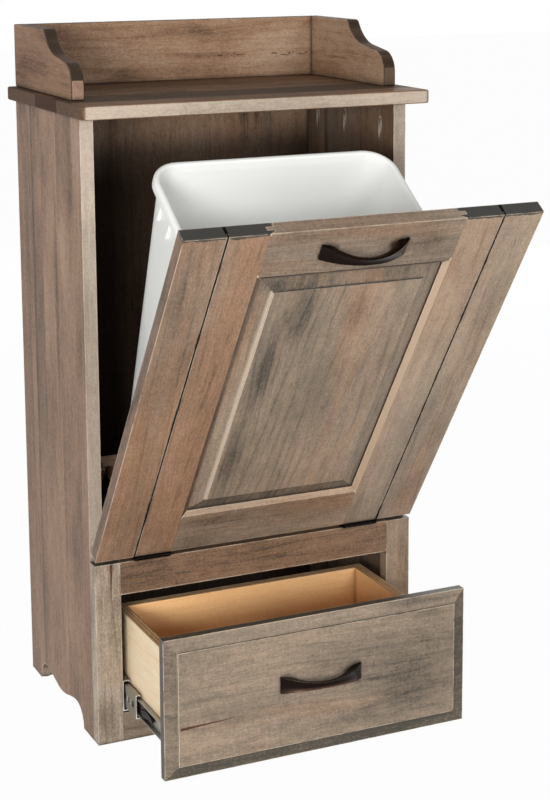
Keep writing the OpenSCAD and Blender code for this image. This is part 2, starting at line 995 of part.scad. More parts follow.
// Bin, in the closed pose. A ring of rounded corners between two depths behind the door
module bin_shape(inset_x, inset_front, inset_back, r) {
    w = bin_w / 2 - inset_x;
    y0 = bin_y + inset_front;
    y1 = bin_y + bin_d - inset_back;
    for (x = [-w + r, w - r], y = [y0 + r, y1 - r])
        translate([x, y])
            circle(r, $fn = 32);
    translate([-w + r, y0])
        square([2 * (w - r), y1 - y0]);
    translate([-w, y0 + r])
        square([2 * w, y1 - y0 - 2 * r]);
}

module bin_slice(z, thick, inset_x, inset_front, inset_back, r) {
    translate([0, 0, z])
        linear_extrude(thick)
            bin_shape(inset_x, inset_front, inset_back, r);
}

slice_t = 0.1;                           // thickness of the end slices of a hull

module bin_solid(grow, z0, z1, body_r) {
    hull() {
        bin_slice(z0, slice_t, bin_taper + grow, bin_front_in + grow, bin_back_in + grow, body_r - grow);
        bin_slice(z1 - slice_t, slice_t, rim_out + grow, rim_out + grow, rim_out + grow, body_r - grow);
    }
}

module trash_bin() {
    top = bin_z + bin_h;
    body_r = bin_corner - rim_out;
    color(white)
        door_pose()
            difference() {
                union() {
                    bin_solid(0, bin_z, top, body_r);
                    bin_slice(top - bin_wall, bin_wall, 0, 0, 0, bin_corner);
                    difference() {
                        bin_slice(top - rim_h, rim_h, 0, 0, 0, bin_corner);
                        bin_slice(top - rim_h - cut, rim_h + 2 * cut, bin_wall, bin_wall, bin_wall,
                            bin_corner - bin_wall);
                    }
                }
                bin_solid(bin_wall, bin_z + bin_wall, top + cut, body_r);
            }
}

// Drawer, with its box, pulled out
module drawer_front() {
    color(wood)
        difference() {
            translate([0, front_back_y, front_z])
                raised_board(front_w, front_h, front_bevel, front_edge, board_t - panel_step, board_t);
            drawer_pull_axes()
                bore(bolt_r, box_t + board_t);
        }
}

drawer_screw_len = box_t + board_t + pull_bore - 1;

module drawer_pull_axes() {
    for (s = [-1, 1])
        translate([s * pull_screws / 2, front_back_y + box_t, front_z + front_h / 2 + drawer_pull_up])
            rotate([90, 0, 0])
                children();
}

module drawer_pull() {
    color(bronze)
        translate([0, front_back_y - board_t, front_z + front_h / 2 + drawer_pull_up])
            pull_body();
}

module drawer_pull_screws() {
    color(zinc)
        drawer_pull_axes()
            screw(bolt_r, bolt_head_r, bolt_head_h, drawer_screw_len);
}

module bottom_slab(grow) {
    reach = box_x - box_t + bottom_groove + grow;
    box([-reach, front_back_y + box_t - bottom_groove - grow, box_z + bottom_up],
        [reach, front_back_y + box_len - box_t + bottom_groove + grow, box_z + bottom_up + bottom_t]);
}

module drawer_side() {
    color(maple)
        difference() {
            box([-box_x, front_back_y, box_z], [-box_x + box_t, front_back_y + box_len, box_z + box_h]);
            bottom_slab(0);
            inner_slide_screws(true);
        }
}

module drawer_side_left() on_left() drawer_side();

module drawer_side_right() on_right() drawer_side();

module drawer_end(y) {
    color(maple)
        difference() {
            box([-box_x + box_t, y, box_z], [box_x - box_t, y + box_t, box_z + box_h]);
            bottom_slab(0);
            drawer_pull_axes()
                bore(bolt_r, box_t);
        }
}

module drawer_box_front() drawer_end(front_back_y);

module drawer_box_back() drawer_end(front_back_y + box_len - box_t);

module drawer_bottom() {
    color(maple)
        bottom_slab(0);
}

// Slides, drawn for the left side; x is counted from the cabinet towards the drawer
slide_x0 = -stile_x;

// A channel in X and Z: web at x0, flanges to x1 of the given half height, small lips at their ends
module channel(x0, x1, half_h, lip, dir) {
    web_x = dir > 0 ? x0 : x1 - steel_t;
    lip_x = dir > 0 ? x1 - steel_t : x0;
    translate([web_x, -half_h])
        square([steel_t, 2 * half_h]);
    for (s = [-1, 1]) {
        translate([x0, s > 0 ? half_h - steel_t : -half_h])
            square([x1 - x0, steel_t]);
        translate([lip_x, s > 0 ? half_h - lip : -half_h])
            square([steel_t, lip]);
    }
}

// An outline in X and Z, extruded along +Y from y
module rail_y(y, length) {
    translate([slide_x0, y + length, slide_z])
        rotate([90, 0, 0])
            linear_extrude(length)
                children();
}

slide_lip = 2.6;
middle_x0 = steel_t + web_gap;
flange_end = ball_x + ball_r + seat;     // lips start here, clear of the balls

module slide_outer() {
    color(zinc)
        difference() {
            rail_y(slide_y, slide_len)
                channel(0, flange_end + steel_t, slide_h / 2, slide_lip, 1);
            outer_slide_screws(true);
        }
}

module slide_middle() {
    color(zinc)
        rail_y(middle_y, middle_len)
            channel(middle_x0, flange_end + steel_t, middle_h / 2, slide_lip, 1);
}

module slide_inner() {
    color(zinc)
        difference() {
            rail_y(inner_y, inner_len)
                channel(middle_x0 + steel_t + 1, slide_t, inner_h / 2, steel_t, -1);
            inner_slide_screws(true);
        }
}

module slide_outer_left() on_left() slide_outer();

module slide_outer_right() on_right() slide_outer();

module slide_middle_left() on_left() slide_middle();

module slide_middle_right() on_right() slide_middle();

module slide_inner_left() on_left() slide_inner();

module slide_inner_right() on_right() slide_inner();

cage_half = ball_r + 0.25;               // half width of a ball cage's strip
cage_t = 0.8;

// A row of balls in its cage strip, from y, at height z over the slide's middle
module ball_row(y, z) {
    pitch = cage_len / balls;
    difference() {
        box([slide_x0 + ball_x - cage_half, y, slide_z + z - cage_t / 2],
            [slide_x0 + ball_x + cage_half, y + cage_len, slide_z + z + cage_t / 2]);
        ball_places(y, z, pitch)
            sphere(ball_r + 0.02);
    }
    ball_places(y, z, pitch)
        sphere(ball_r);
}

module ball_places(y, z, pitch) {
    for (i = [0:balls - 1])
        translate([slide_x0 + ball_x, y + (i + 0.5) * pitch, slide_z + z])
            children();
}

// Outer rows near the middle member's rear end, inner rows at its front end
module slide_balls() {
    outer_z = slide_h / 2 - steel_t - ball_gap / 2;
    inner_z = middle_h / 2 - steel_t - ball_gap / 2;
    color(black)
        for (s = [-1, 1]) {
            ball_row(middle_y + middle_len - cage_len - 4, s * outer_z);
            ball_row(middle_y + 4, s * inner_z);
        }
}

module slide_balls_left() on_left() slide_balls();

module slide_balls_right() on_right() slide_balls();

slide_head_h = 1.2;
slide_screw_len = 11;
side_screw_len = box_t - bottom_groove + steel_t - tongue_gap;   // short of the bottom's groove

module outer_slide_screws(hole) {
    for (y = [24, slide_len - 40])
        translate([slide_x0 + steel_t, slide_y + board_t + y, slide_z])
            rotate([0, -90, 0])
                if (hole)
                    screw_hole(screw_r, 2 * screw_r, slide_head_h, slide_screw_len);
                else
                    screw(screw_r, 2 * screw_r, slide_head_h, slide_screw_len);
}

module inner_slide_screws(hole) {
    for (y = [30, inner_len - 30])
        translate([slide_x0 + slide_t - steel_t, inner_y + y, slide_z])
            rotate([0, 90, 0])
                if (hole)
                    screw_hole(screw_r, 2 * screw_r, slide_head_h, side_screw_len);
                else
                    screw(screw_r, 2 * screw_r, slide_head_h, side_screw_len);
}

module slide_screws_cabinet() {
    color(zinc)
        on_both()
            outer_slide_screws(false);
}

module slide_screws_drawer() {
    color(zinc)
        on_both()
            inner_slide_screws(false);
}

// Blocks that fill the step between the side panels and the frame's stiles
block_h = 60;
block_up = 6;                            // height of a block's middle over the slide's
block_len = slide_len - board_t;

module slide_block() {
    color(wood_dark)
        difference() {
            box([-inner_x, side_y, slide_z + block_up - block_h / 2],
                [-stile_x, side_y + block_len, slide_z + block_up + block_h / 2]);
            outer_slide_screws(true);
        }
}

module slide_block_left() on_left() slide_block();

module slide_block_right() on_right() slide_block();

side_panel_left();
side_panel_right();
back_panel();
rear_bottom_rail();
top_board();
gallery_back();
gallery_left();
gallery_right();
frame_stile_left();
frame_stile_right();
frame_rail_middle();
frame_rail_bottom();
bay_floor();
slide_block_left();
slide_block_right();
slide_outer_left();
slide_outer_right();
slide_screws_cabinet();
tilt_stop_left();
tilt_stop_right();
tilt_stop_screws();
pocket_screws();
hinge_leaves_frame();
hinge_pins();
hinge_screws_frame();
foot_glides();
door_stile_left();
door_stile_right();
door_rail_top();
door_rail_bottom();
door_panel();
door_pull();
door_pull_screws();
hinge_leaves_door();
hinge_screws_door();
carrier_base();
carrier_back_rail();
bracket_left_outer_ply();
bracket_left_inner_ply();
bracket_right_outer_ply();
bracket_right_inner_ply();
carrier_screws();
trash_bin();
drawer_front();
drawer_box_front();
drawer_box_back();
drawer_side_left();
drawer_side_right();
drawer_bottom();
drawer_pull();
drawer_pull_screws();
slide_inner_left();
slide_inner_right();
slide_screws_drawer();
slide_middle_left();
slide_middle_right();
slide_balls_left();
slide_balls_right();
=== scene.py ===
"""Looks of a tilt-out waste bin cabinet: stained maple boards, a white bin, and a pale drawer box on slides."""

import json
from functools import reduce
from math import cos, pi, radians, sin, sqrt

import bmesh
import bpy
import numpy as np
from mathutils import Matrix, Vector


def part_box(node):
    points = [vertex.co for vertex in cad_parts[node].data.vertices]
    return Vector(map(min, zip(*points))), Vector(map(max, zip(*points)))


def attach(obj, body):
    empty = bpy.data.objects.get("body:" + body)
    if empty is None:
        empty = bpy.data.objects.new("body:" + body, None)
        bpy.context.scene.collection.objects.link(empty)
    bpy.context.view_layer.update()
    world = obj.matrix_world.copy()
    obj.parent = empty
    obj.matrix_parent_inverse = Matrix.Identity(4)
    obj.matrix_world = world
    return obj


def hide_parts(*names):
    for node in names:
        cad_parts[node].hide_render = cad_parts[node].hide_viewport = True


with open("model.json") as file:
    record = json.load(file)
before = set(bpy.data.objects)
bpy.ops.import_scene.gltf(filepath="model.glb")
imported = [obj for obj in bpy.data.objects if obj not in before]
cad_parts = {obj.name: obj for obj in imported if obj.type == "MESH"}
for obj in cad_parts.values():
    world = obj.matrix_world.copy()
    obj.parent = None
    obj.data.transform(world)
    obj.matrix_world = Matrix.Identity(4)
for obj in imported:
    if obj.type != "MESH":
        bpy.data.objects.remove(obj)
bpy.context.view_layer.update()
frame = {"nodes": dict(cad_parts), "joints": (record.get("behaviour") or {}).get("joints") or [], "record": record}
nodes = frame["nodes"]
bodies = frame["record"]["behaviour"]["bodies"]
body_of_node = {node: body for body, members in bodies.items() for node in members}
scene = bpy.context.scene
MM = 0.001

# The door's hinge line and how far it stands open, in the row frame
tilt_joint = next(j for j in frame["joints"] if j["name"] == "door_tilt")
hinge_point = Vector(tilt_joint["pos_m"])
door_open = radians(-min(tilt_joint["range_deg"]))
door_pose = (Matrix.Translation(hinge_point) @ Matrix.Rotation(door_open, 4, "X")
             @ Matrix.Translation(-hinge_point))
door_back = door_pose.inverted()


def shut_points(name):
    """Points of a node as it lies when the door is shut."""
    pose = door_back if body_of_node[name] in ("door", "bin") else Matrix.Identity(4)
    return [pose @ vertex.co for vertex in nodes[name].data.vertices]


def rgb(*channels):
    """A colour as a screen shows it, 0 to 255, in the linear values that a shader takes."""
    shares = [v / 255 for v in channels]
    return (*[v / 12.92 if v <= 0.04045 else ((v + 0.055) / 1.055) ** 2.4 for v in shares], 1)


# Camera, fitted to the edges in the photo. Its axis meets the photo in the middle, 240 pixels from the top.
PHOTO_H = 800
FOCAL_PX = 1823.4
AXIS_DOWN_PX = 240
EYE = Vector((-1.02, -2.4518, 1.1421))
YAW, PITCH, ROLL = 0.4289, -0.1718, -0.006
SENSOR = 36


def add_object(name, data):
    obj = bpy.data.objects.new(name, data)
    scene.collection.objects.link(obj)
    return obj


def add_camera():
    data = bpy.data.cameras.new("camera")
    data.sensor_fit = "VERTICAL"
    data.sensor_height = data.sensor_width = SENSOR
    data.lens = FOCAL_PX * SENSOR / PHOTO_H
    data.shift_y = (AXIS_DOWN_PX - PHOTO_H / 2) / PHOTO_H
    data.clip_start = 0.05
    data.clip_end = 60
    camera = add_object("camera", data)
    camera.matrix_world = (Matrix.Translation(EYE) @ Matrix.Rotation(-YAW, 4, "Z")
                           @ Matrix.Rotation(pi / 2 + PITCH, 4, "X") @ Matrix.Rotation(ROLL, 4, "Z"))
    scene.camera = camera


add_camera()


# Shader helpers
RAYS = 6  # samples of the nodes that look round a point


class Graph:
    """Makes the nodes of one material, node group or world."""

    def __init__(self, tree):
        self.tree = tree

    def feed(self, socket, value):
        """Links a socket to an input, or sets a value in it."""
        if isinstance(value, bpy.types.NodeSocket):
            self.tree.links.new(value, socket)
        else:
            socket.default_value = value

    def put(self, kind, inputs=None, **settings):
        """A new node. inputs gives values and sockets by name or number."""
        node = self.tree.nodes.new(kind if kind.startswith("NodeGroup") else "ShaderNode" + kind)
        for name, value in settings.items():
            setattr(node, name, value)
        for name, value in (inputs or {}).items():
            self.feed(node.inputs[name], value)
        return node

    def shade(self, colour, roughness, **others):
        """Gives the material's shader its inputs. The names of the others have _ for a space."""
        for name, value in {"Base Color": colour, "Roughness": roughness, **others}.items():
            self.feed(self.shader.inputs[name.replace("_", " ")], value)

    def calc(self, operation, *values, clamp=False):
        """The result of a Math node."""
        return self.put("Math", dict(enumerate(values)), operation=operation, use_clamp=clamp).outputs[0]

    def plus(self, *values):
        return reduce(lambda a, b: self.calc("ADD", a, b), values)

    def times(self, *values):
        return reduce(lambda a, b: self.calc("MULTIPLY", a, b), values)

    def scaled(self, value, gain, more):
        """value times gain, plus more."""
        return self.calc("MULTIPLY_ADD", value, gain, more)

    def centred(self, value, gain):
        """value of 0 to 1 about its middle, times gain."""
        return self.scaled(value, gain, -0.5 * gain)

    def vector(self, operation, *values, output="Vector"):
        """The result of a Vector Math node."""
        return self.put("VectorMath", dict(enumerate(values)), operation=operation).outputs[output]

    def split(self, vector):
        return self.put("SeparateXYZ", {0: vector}).outputs

    def remap(self, value, low, high, to_low=0, to_high=1, smooth=True):
        """value from low..high to to_low..to_high, clamped."""
        return self.put("MapRange", {0: value, 1: low, 2: high, 3: to_low, 4: to_high},
                        interpolation_type="SMOOTHSTEP" if smooth else "LINEAR").outputs[0]

    def blend(self, amount, a, b, kind="MIX"):
        """Colour a, with b over it by amount."""
        return self.put("Mix", {0: amount, 6: a, 7: b}, data_type="RGBA", blend_type=kind,
                        clamp_factor=True).outputs[2]

    def noise(self, place, along, across, detail=3, roughness=0.5, distortion=0, through=None):
        """Noise of 0 to 1, with so many repeats a metre along the first axis, the second and the third."""
        stretch = (along, across, across if through is None else through)
        return self.put("TexNoise", {
            "Vector": self.vector("MULTIPLY", place, stretch), "Scale": 1, "Detail": detail,
            "Roughness": roughness, "Distortion": distortion}).outputs[0]

    def openness(self, distance):
        """1 in the open, and less where other faces are within that distance."""
        return self.put("AmbientOcclusion", {"Distance": distance}, samples=RAYS).outputs["AO"]

    def flatness(self, radius):
        """1 on a flat face, and less within radius of an edge."""
        rounded = self.put("Bevel", {"Radius": radius}, samples=RAYS).outputs[0]
        flat = self.put("NewGeometry").outputs["Normal"]
        return self.vector("DOT_PRODUCT", rounded, flat, output="Value")

    def bump(self, height, distance, strength):
        return self.put("Bump", {"Height": height, "Distance": distance, "Strength": strength}).outputs[0]


def new_material(name):
    """The graph of a new material."""
    made = bpy.data.materials.new(name)
    made.use_nodes = True
    g = Graph(made.node_tree)
    g.material = made
    g.shader = g.tree.nodes["Principled BSDF"]
    return g


def board_vectors(g, node, grain):
    """Place on a board in its own axes, along the grain, across it and through, and its normal in the part's axes.
    grain names the first two axes. Boards of the door are taken as they lie when it is shut."""
    coords = g.put("TexCoord").outputs
    point, normal = coords["Object"], coords["Normal"]
    if body_of_node[node] == "door":
        turn = (-door_open, 0, 0)
        point = g.put("Mapping", {"Vector": point, "Rotation": turn, "Location": door_back.translation}).outputs[0]
        normal = g.put("Mapping", {"Vector": normal, "Rotation": turn}).outputs[0]
    through = ({"X", "Y", "Z"} - set(grain)).pop()
    parts = g.split(point)
    own = {i: parts[axis] for i, axis in enumerate(grain + through)}
    return g.put("CombineXYZ", own).outputs[0], normal


def grain_group():
    """Figure of a stained maple board. Out come the depth of the stain, its warmth, and a height for bump."""
    tree = bpy.data.node_groups.new("maple_figure", "ShaderNodeTree")
    for name in ("Board", "Seed", "Blotch", "Rings", "Ripple"):
        kind = "NodeSocketVector" if name == "Board" else "NodeSocketFloat"
        tree.interface.new_socket(name, in_out="INPUT", socket_type=kind)
    for name in ("Stain", "Warmth", "Height"):
        tree.interface.new_socket(name, in_out="OUTPUT", socket_type="NodeSocketFloat")
    g = Graph(tree)
    given = g.put("NodeGroupInput").outputs
    shift = g.put("VectorMath", {0: (3.17, 1.93, 2.41), "Scale": given["Seed"]}, operation="SCALE")
    place = g.vector("ADD", given["Board"], shift.outputs[0])
    # the grain wanders across the board
    wander = g.noise(place, 2.6, 7, 2).node.outputs[1]
    sway = g.vector("MULTIPLY", g.vector("SUBTRACT", wander, (0.5, 0.5, 0.5)), (0, 0.03, 0.03))
    grain = g.vector("ADD", place, sway)
    bands = g.noise(grain, 1.1, 24, 3, 0.55)
    streaks = g.noise(grain, 3, 90, 3, 0.6)
    lines = g.noise(grain, 13, 330, 3, 0.65)
    hairs = g.noise(grain, 40, 1300, 2, 0.6)
    pores = g.remap(g.noise(grain, 75, 1000, 2, 0.6), 0.6, 0.72)
    speck = g.noise(place, 260, 420, 3, 0.7)
    # thin growth lines, which run out as arches where the board's face cuts the rings flat
    run, side, depth = g.split(grain)
    deep = g.scaled(g.calc("PINGPONG", depth, 0.04), 0.5, 0.03)
    arch = g.put("CombineXYZ", {0: g.calc("PINGPONG", side, 0.12), 1: deep}).outputs[0]
    lean = g.scaled(run, 0.045, g.vector("LENGTH", arch, output="Value"))
    saw = g.calc("FRACT", g.times(g.scaled(bands, 0.02, lean), 88))
    late = g.calc("SUBTRACT", g.remap(saw, 0.55, 0.92), g.remap(saw, 0.93, 1))
    rings = g.times(late, g.remap(streaks, 0.38, 0.62), given["Rings"])
    # the stain takes unevenly, in soft clouds that the grain streaks through
    drift = g.noise(place, 3.5, 8, 3, 0.55)
    cloud = g.scaled(streaks, 0.28, g.noise(grain, 5.5, 15, 5, 0.6, 0.25))
    patches = g.times(g.remap(cloud, 0.66, 0.92), given["Blotch"], g.scaled(lines, 1.1, 0.45))
    mottle = g.noise(place, 38, 95, 4, 0.65)
    rippled = g.times(g.centred(g.noise(place, 260, 45, 2, 0.55), 0.5), given["Ripple"])
    stain = g.plus(
        g.centred(bands, 0.32), g.centred(streaks, 0.2), g.centred(lines, 0.36), g.centred(hairs, 0.36),
        g.centred(speck, 0.85), g.centred(mottle, 0.45), rippled, g.centred(drift, 0.85), g.times(pores, 0.18),
        g.times(rings, 0.2), g.times(patches, 0.5), 0.42)
    height = g.plus(g.times(hairs, 0.45), g.times(pores, -0.9), g.times(lines, 0.55), rippled)
    g.put("NodeGroupOutput", {"Stain": stain, "Warmth": g.noise(grain, 1.4, 13, 3, 0.6), "Height": height})
    return tree


figure = grain_group()


def figured(g, point, seed, blotch, rings, ripple):
    """The outputs of the maple figure at a place on a board."""
    return g.put("Group", {"Board": point, "Seed": seed, "Blotch": blotch, "Rings": rings, "Ripple": ripple},
                 node_tree=figure).outputs


# Colours of the stained maple
PALE = rgb(181, 157, 133)
WARM = rgb(150, 116, 90)
GREY = rgb(136, 120, 103)
DEEP = rgb(72, 57, 44)
GREY_DEEP = rgb(68, 63, 54)
# dark glaze in the end grain's pores, and painted shade in corners and along raised fields
GLAZE_AND_SHADE = rgb(44, 37, 31)
# pale colour of wear on arrises and of painted highlights
RUBBED_AND_LIT = rgb(212, 194, 172)
END_GRAIN = rgb(88, 84, 77)
END_DARK = rgb(46, 44, 40)
EDGE_TINT = (rgb(194, 177, 160), rgb(112, 97, 84))
RUST = rgb(74, 40, 22)
# near-black painted shade in the door stiles' groove
GROOVE_SHADE = rgb(10, 9, 8)


def away(g, point, x, y, reach_x, reach_y):
    """How far a place is from x along and y across the board, where 1 is the reach."""
    offset = g.vector("SUBTRACT", point, (x, y, 0))
    return g.vector("LENGTH", g.vector("MULTIPLY", offset, (1 / reach_x, 1 / reach_y, 0)), output="Value")


def shade_mark(g, point, depth, *oval):
    """A soft darker or paler cloud, as more or less stain; on the frame's left stile, one paler cloud is painted
    light.
    """
    far = g.scaled(g.noise(point, 14, 70, 5, 0.62), 1.3, away(g, point, *oval))
    return g.times(g.remap(far, 1.9, 0.45), depth)


def fleck_mask(g, point, share, *oval):
    """Short dashes along the grain in an oval. share of 0 to 1 is how dense they lie."""
    level = 0.76 - 0.22 * share
    dashes = g.remap(g.noise(point, 95, 380, 2, 0.6), level, level + 0.05)
    return g.times(dashes, g.remap(away(g, point, *oval), 1, 0.55))


def crack_mask(g, point, width, x, y, end_x, end_y):
    """A tapered crack from x and y, where it is widest."""
    run, side, _ = g.split(point)
    share = g.calc("DIVIDE", g.calc("SUBTRACT", run, x), end_x - x)
    straight = g.scaled(share, end_y - y, y)
    middle = g.plus(straight, g.centred(g.noise(point, 130, 130, 3, 0.6), 0.5 * width))
    off = g.calc("ABSOLUTE", g.calc("SUBTRACT", side, middle))
    half = g.times(g.calc("SUBTRACT", 1, share, clamp=True), 0.5 * width)
    inside = g.remap(g.calc("SUBTRACT", off, half), 0.0003, -0.0004)
    return g.times(inside, g.calc("GREATER_THAN", share, 0))


def box_mask(g, point, low, high):
    """1 inside a rectangle of a board. low and high give its corners along and across the board."""
    at = g.split(point)
    above = [g.calc("GREATER_THAN", at[i], low[i]) for i in (0, 1)]
    return g.times(*above, *[g.calc("LESS_THAN", at[i], high[i]) for i in (0, 1)])


def turned_in(g, facing, axis, sign):
    """1 on the face that looks along an axis, or against it where sign is -1."""
    return g.remap(g.times(facing[axis], sign), 0.5, 0.8)


def front_face(name):
    """Left, right, low and high border of the foremost face of a board, when the door is shut."""
    points = shut_points(name)
    front = min(p.y for p in points)
    rim = [p for p in points if p.y < front + 0.2 * MM]
    return min(p.x for p in rim), max(p.x for p in rim), min(p.z for p in rim), max(p.z for p in rim)


def field_masks(g, name, point, grain, highlight_depth, highlight_width, shadow_depths, shadow_widths):
    """A painted highlight along the field's left border, and painted shadows along its right, lower and upper ones.
    """
    run, side, _ = g.split(point)
    x, z = (run, side) if grain[0] == "X" else (side, run)
    left, right, low, high = front_face(name)
    ragged = g.noise(point, 150, 150, 4, 0.7)
    fade = 2 * MM

    def between(value, start, stop):
        return g.times(g.remap(value, start - fade, start), g.remap(value, stop + fade, stop))

    out = g.times(g.calc("SUBTRACT", x, left), -1)
    painted_light = g.times(g.remap(out, highlight_width, 0), g.remap(out, -0.0014, -0.0004), between(z, low, high), highlight_depth)
    step_shadows = []
    borders = ((x, right, 1, (z, low, high)), (z, low, -1, (x, left, right)), (z, high, 1, (x, left, right)))
    for (value, border, sign, span), depth, width in zip(borders, shadow_depths, shadow_widths):
        far = g.times(g.calc("SUBTRACT", value, border), sign)
        near = g.remap(g.scaled(ragged, 1.6 * width, far), 1.9 * width, 0.9 * width)
        step_shadows.append(g.times(near, g.remap(far, -0.0016, -0.0006), between(*span), depth))
    return painted_light, g.plus(*step_shadows)


# Boards that lie flush in a frame, and how far beside a joint no edge is lightened by wear and painted highlight
FLUSH = ("door_stile", "door_rail", "frame_")
RAILS = {"door": ("door_rail_top", "door_rail_bottom"), "frame": ("frame_rail_middle", "frame_rail_bottom")}
JOINT = 3.4 * MM


def flush_joints(name):
    """Rectangles where a board meets others flush: at both ends of a rail, and on a stile's inner edge."""
    if not name.startswith(FLUSH):
        return []
    if "rail" in name:
        left, right, low, high = front_face(name)
        ends = ((left - 4 * JOINT, left + JOINT), (right - JOINT, right + 4 * JOINT))
        return [((start, low + JOINT), (stop, high - JOINT)) for start, stop in ends]
    boxes = []
    for rail in RAILS[name.split("_")[0]]:
        left, right, low, high = front_face(rail)
        seam = left if name.endswith("left") else right
        boxes.append(((low - JOINT, seam - JOINT), (high + JOINT, seam + JOINT)))
    return boxes


# The groove in each door stile, and the height from which dark stain has run over the door's top
GROOVE_AT = 0.19015
GROOVE_W = 2.6 * MM
DOOR_TOP = 0.8857


def stained_wood(name, grain, seed, tone, warm, blotch=0.8, rings=0.6, ripple=0.3, pale=PALE, deep=DEEP,
                 end=END_GRAIN, end_depth=0.9, end_block=None, strips=None, shades=(), flecks=(), cracks=(),
                 raised=(), front=0, front_tint=None, up=0, flank=0, nose=0, nose_tint=None, groove=False,
                 field=None, inside=None, dim=0.35, dim_rise=None, gloss=0.46, shine=0.3, glaze=0.88, worn=0.95):
    """Stained maple for a node. tone darkens it and warm takes it from grey to pinkish. strips are the places
    across a glued-up board where a new strip starts, each with its own lightness. raised is painted light and
    shade on moulded faces that slope right, left, down and up; front, up and flank make the faces that look
    that way darker or paler. end_block tints a rectangle of the end grain, and nose is a painted highlight on
    the blunt front of a curved end. inside is the direction of a face that looks into the cabinet, which is
    darkened as painted shade, and dim_rise eases that shade towards the top as painted light."""
    g = new_material("wood_" + name)
    point, normal = board_vectors(g, name, grain)
    run, side, _ = g.split(point)
    facing = g.split(normal)
    own_strips = []
    if strips:
        low, high = strips[0][0], strips[-1][0] + 0.1
        ramp = g.put("ValToRGB", {0: g.remap(side, low, high, smooth=False)})
        ramp.color_ramp.interpolation = "CONSTANT"
        elements = ramp.color_ramp.elements
        while len(elements) < len(strips):
            elements.new(0.5)
        for element, (start, light) in zip(elements, strips):
            element.position = (start - low) / (high - low)
            element.color = (light, light, light, 1)
        seed = g.scaled(ramp.outputs[0], 7, seed)
        own_strips = [g.scaled(ramp.outputs[0], -0.7, 0.35)]
    wood = figured(g, point, seed, blotch, rings, ripple)
    parts = [wood["Stain"], tone - 0.5, *own_strips,
             *[shade_mark(g, point, depth, *oval) for *oval, depth in shades]]
    # a face that slopes towards the end of the grain takes more stain
    slope = g.calc("ABSOLUTE", facing[grain[0]])
    parts.append(g.remap(slope, 0.1, 0.45, 0, 0.3))
    # painted light and shade on front faces that slope right, left, down and up
    to_front = g.remap(facing[1], -0.55, -0.75)
    for (axis, sign), depth in zip(((0, 1), (0, -1), (2, -1), (2, 1)), raised):
        parts.append(g.times(g.remap(facing[axis], 0.08 * sign, 0.2 * sign, 0, depth), to_front))
    if front:
        parts.append(g.remap(facing[1], -0.8, -0.95, 0, front))
    if up:
        parts.append(g.remap(facing[2], 0.7, 0.9, 0, up))
    if flank:
        parts.append(g.remap(g.calc("ABSOLUTE", facing[grain[1]]), 0.8, 0.95, 0, flank))
    stain = g.plus(*parts)
    mid = g.blend(g.remap(wood["Warmth"], 0.72 - 0.5 * warm, 1.02 - 0.5 * warm), GREY, WARM)
    light = g.blend(g.remap(stain, 0, 0.5, smooth=False), pale, mid)
    colour = g.blend(g.remap(stain, 0.5, 1.1, smooth=False), light, deep)
    if front_tint:
        tinted = g.blend(g.remap(stain, 0, 1, smooth=False), *front_tint)
        colour = g.blend(g.remap(facing[1], -0.8, -0.95), colour, tinted)
    # end grain drinks the stain
    speck = g.noise(point, 260, 600, 3, 0.7)
    open_end = g.remap(slope, 0.6, 0.85)
    spotted = g.remap(speck, 0.35, 0.75)
    dark_end = g.blend(spotted, end, GLAZE_AND_SHADE)
    if end_block:
        box, tint = end_block
        dark_end = g.blend(box_mask(g, point, *box), dark_end, g.blend(spotted, tint, GLAZE_AND_SHADE))
    colour = g.blend(g.times(open_end, end_depth), colour, dark_end)
    # the curved end grain takes the end colour, and the blunt front a painted highlight
    if nose:
        curved = g.times(g.remap(slope, 0.1, 0.4), g.remap(speck, 0.3, 0.7, 0.55, 0.95))
        colour = g.blend(curved, colour, end)
        blunt_highlight = g.blend(g.remap(wood["Stain"], 0.1, 0.9), *nose_tint)
        colour = g.blend(g.times(g.remap(slope, 0.965, 0.985), nose), colour, blunt_highlight)
    if groove:
        # the dark stain of the top edge has run over onto the face
        ran = g.noise(point, 30, 70, 3, 0.6, through=30)
        over = g.remap(g.scaled(ran, 0.009, run), DOOR_TOP, DOOR_TOP + 0.0012)
        colour = g.blend(g.times(over, 0.9), colour, end)
    # a painted highlight along the field's left border, and painted shadows along the others
    if field:
        painted_light, step_shadow = field_masks(g, name, point, grain, *field)
        colour = g.blend(step_shadow, g.blend(painted_light, colour, RUBBED_AND_LIT), GLAZE_AND_SHADE)
    for mask, marks in ((fleck_mask, flecks), (crack_mask, cracks)):
        for *where, last in marks:
            colour = g.blend(mask(g, point, last, *where), colour, RUST)
    specular = shine
    # the groove is painted near-black as painted shade, and loses its specular
    if groove:
        off = g.calc("ABSOLUTE", g.calc("SUBTRACT", g.calc("ABSOLUTE", side), GROOVE_AT))
        line = g.remap(off, GROOVE_W, 0.6 * GROOVE_W)
        colour = g.blend(line, colour, GROOVE_SHADE)
        specular = g.remap(line, 0, 1, shine, 0)
    # painted shade on faces that look into the cabinet, eased towards the top as painted light where a rise is
    # given
    if inside:
        level = (dim, dim, dim, 1)
        if dim_rise:
            low, high, lit_level = dim_rise
            level = g.blend(g.remap(run, low, high), level, (lit_level, lit_level, lit_level, 1))
        colour = g.blend(turned_in(g, facing, *inside), colour, level, "MULTIPLY")
    # painted shade darkens the corners; the arrises are lighter with wear and painted highlight, but not where two
    # boards meet flush
    hollow = g.openness(9 * MM)
    corner = g.plus(g.remap(g.centred(speck, 0.3), -0.1, 0.1, -0.08, 0.08), hollow)
    colour = g.blend(g.remap(corner, 0.98, 0.5, 0, glaze), colour, GLAZE_AND_SHADE)
    rub = g.noise(point, 24, 60, 4, 0.7)
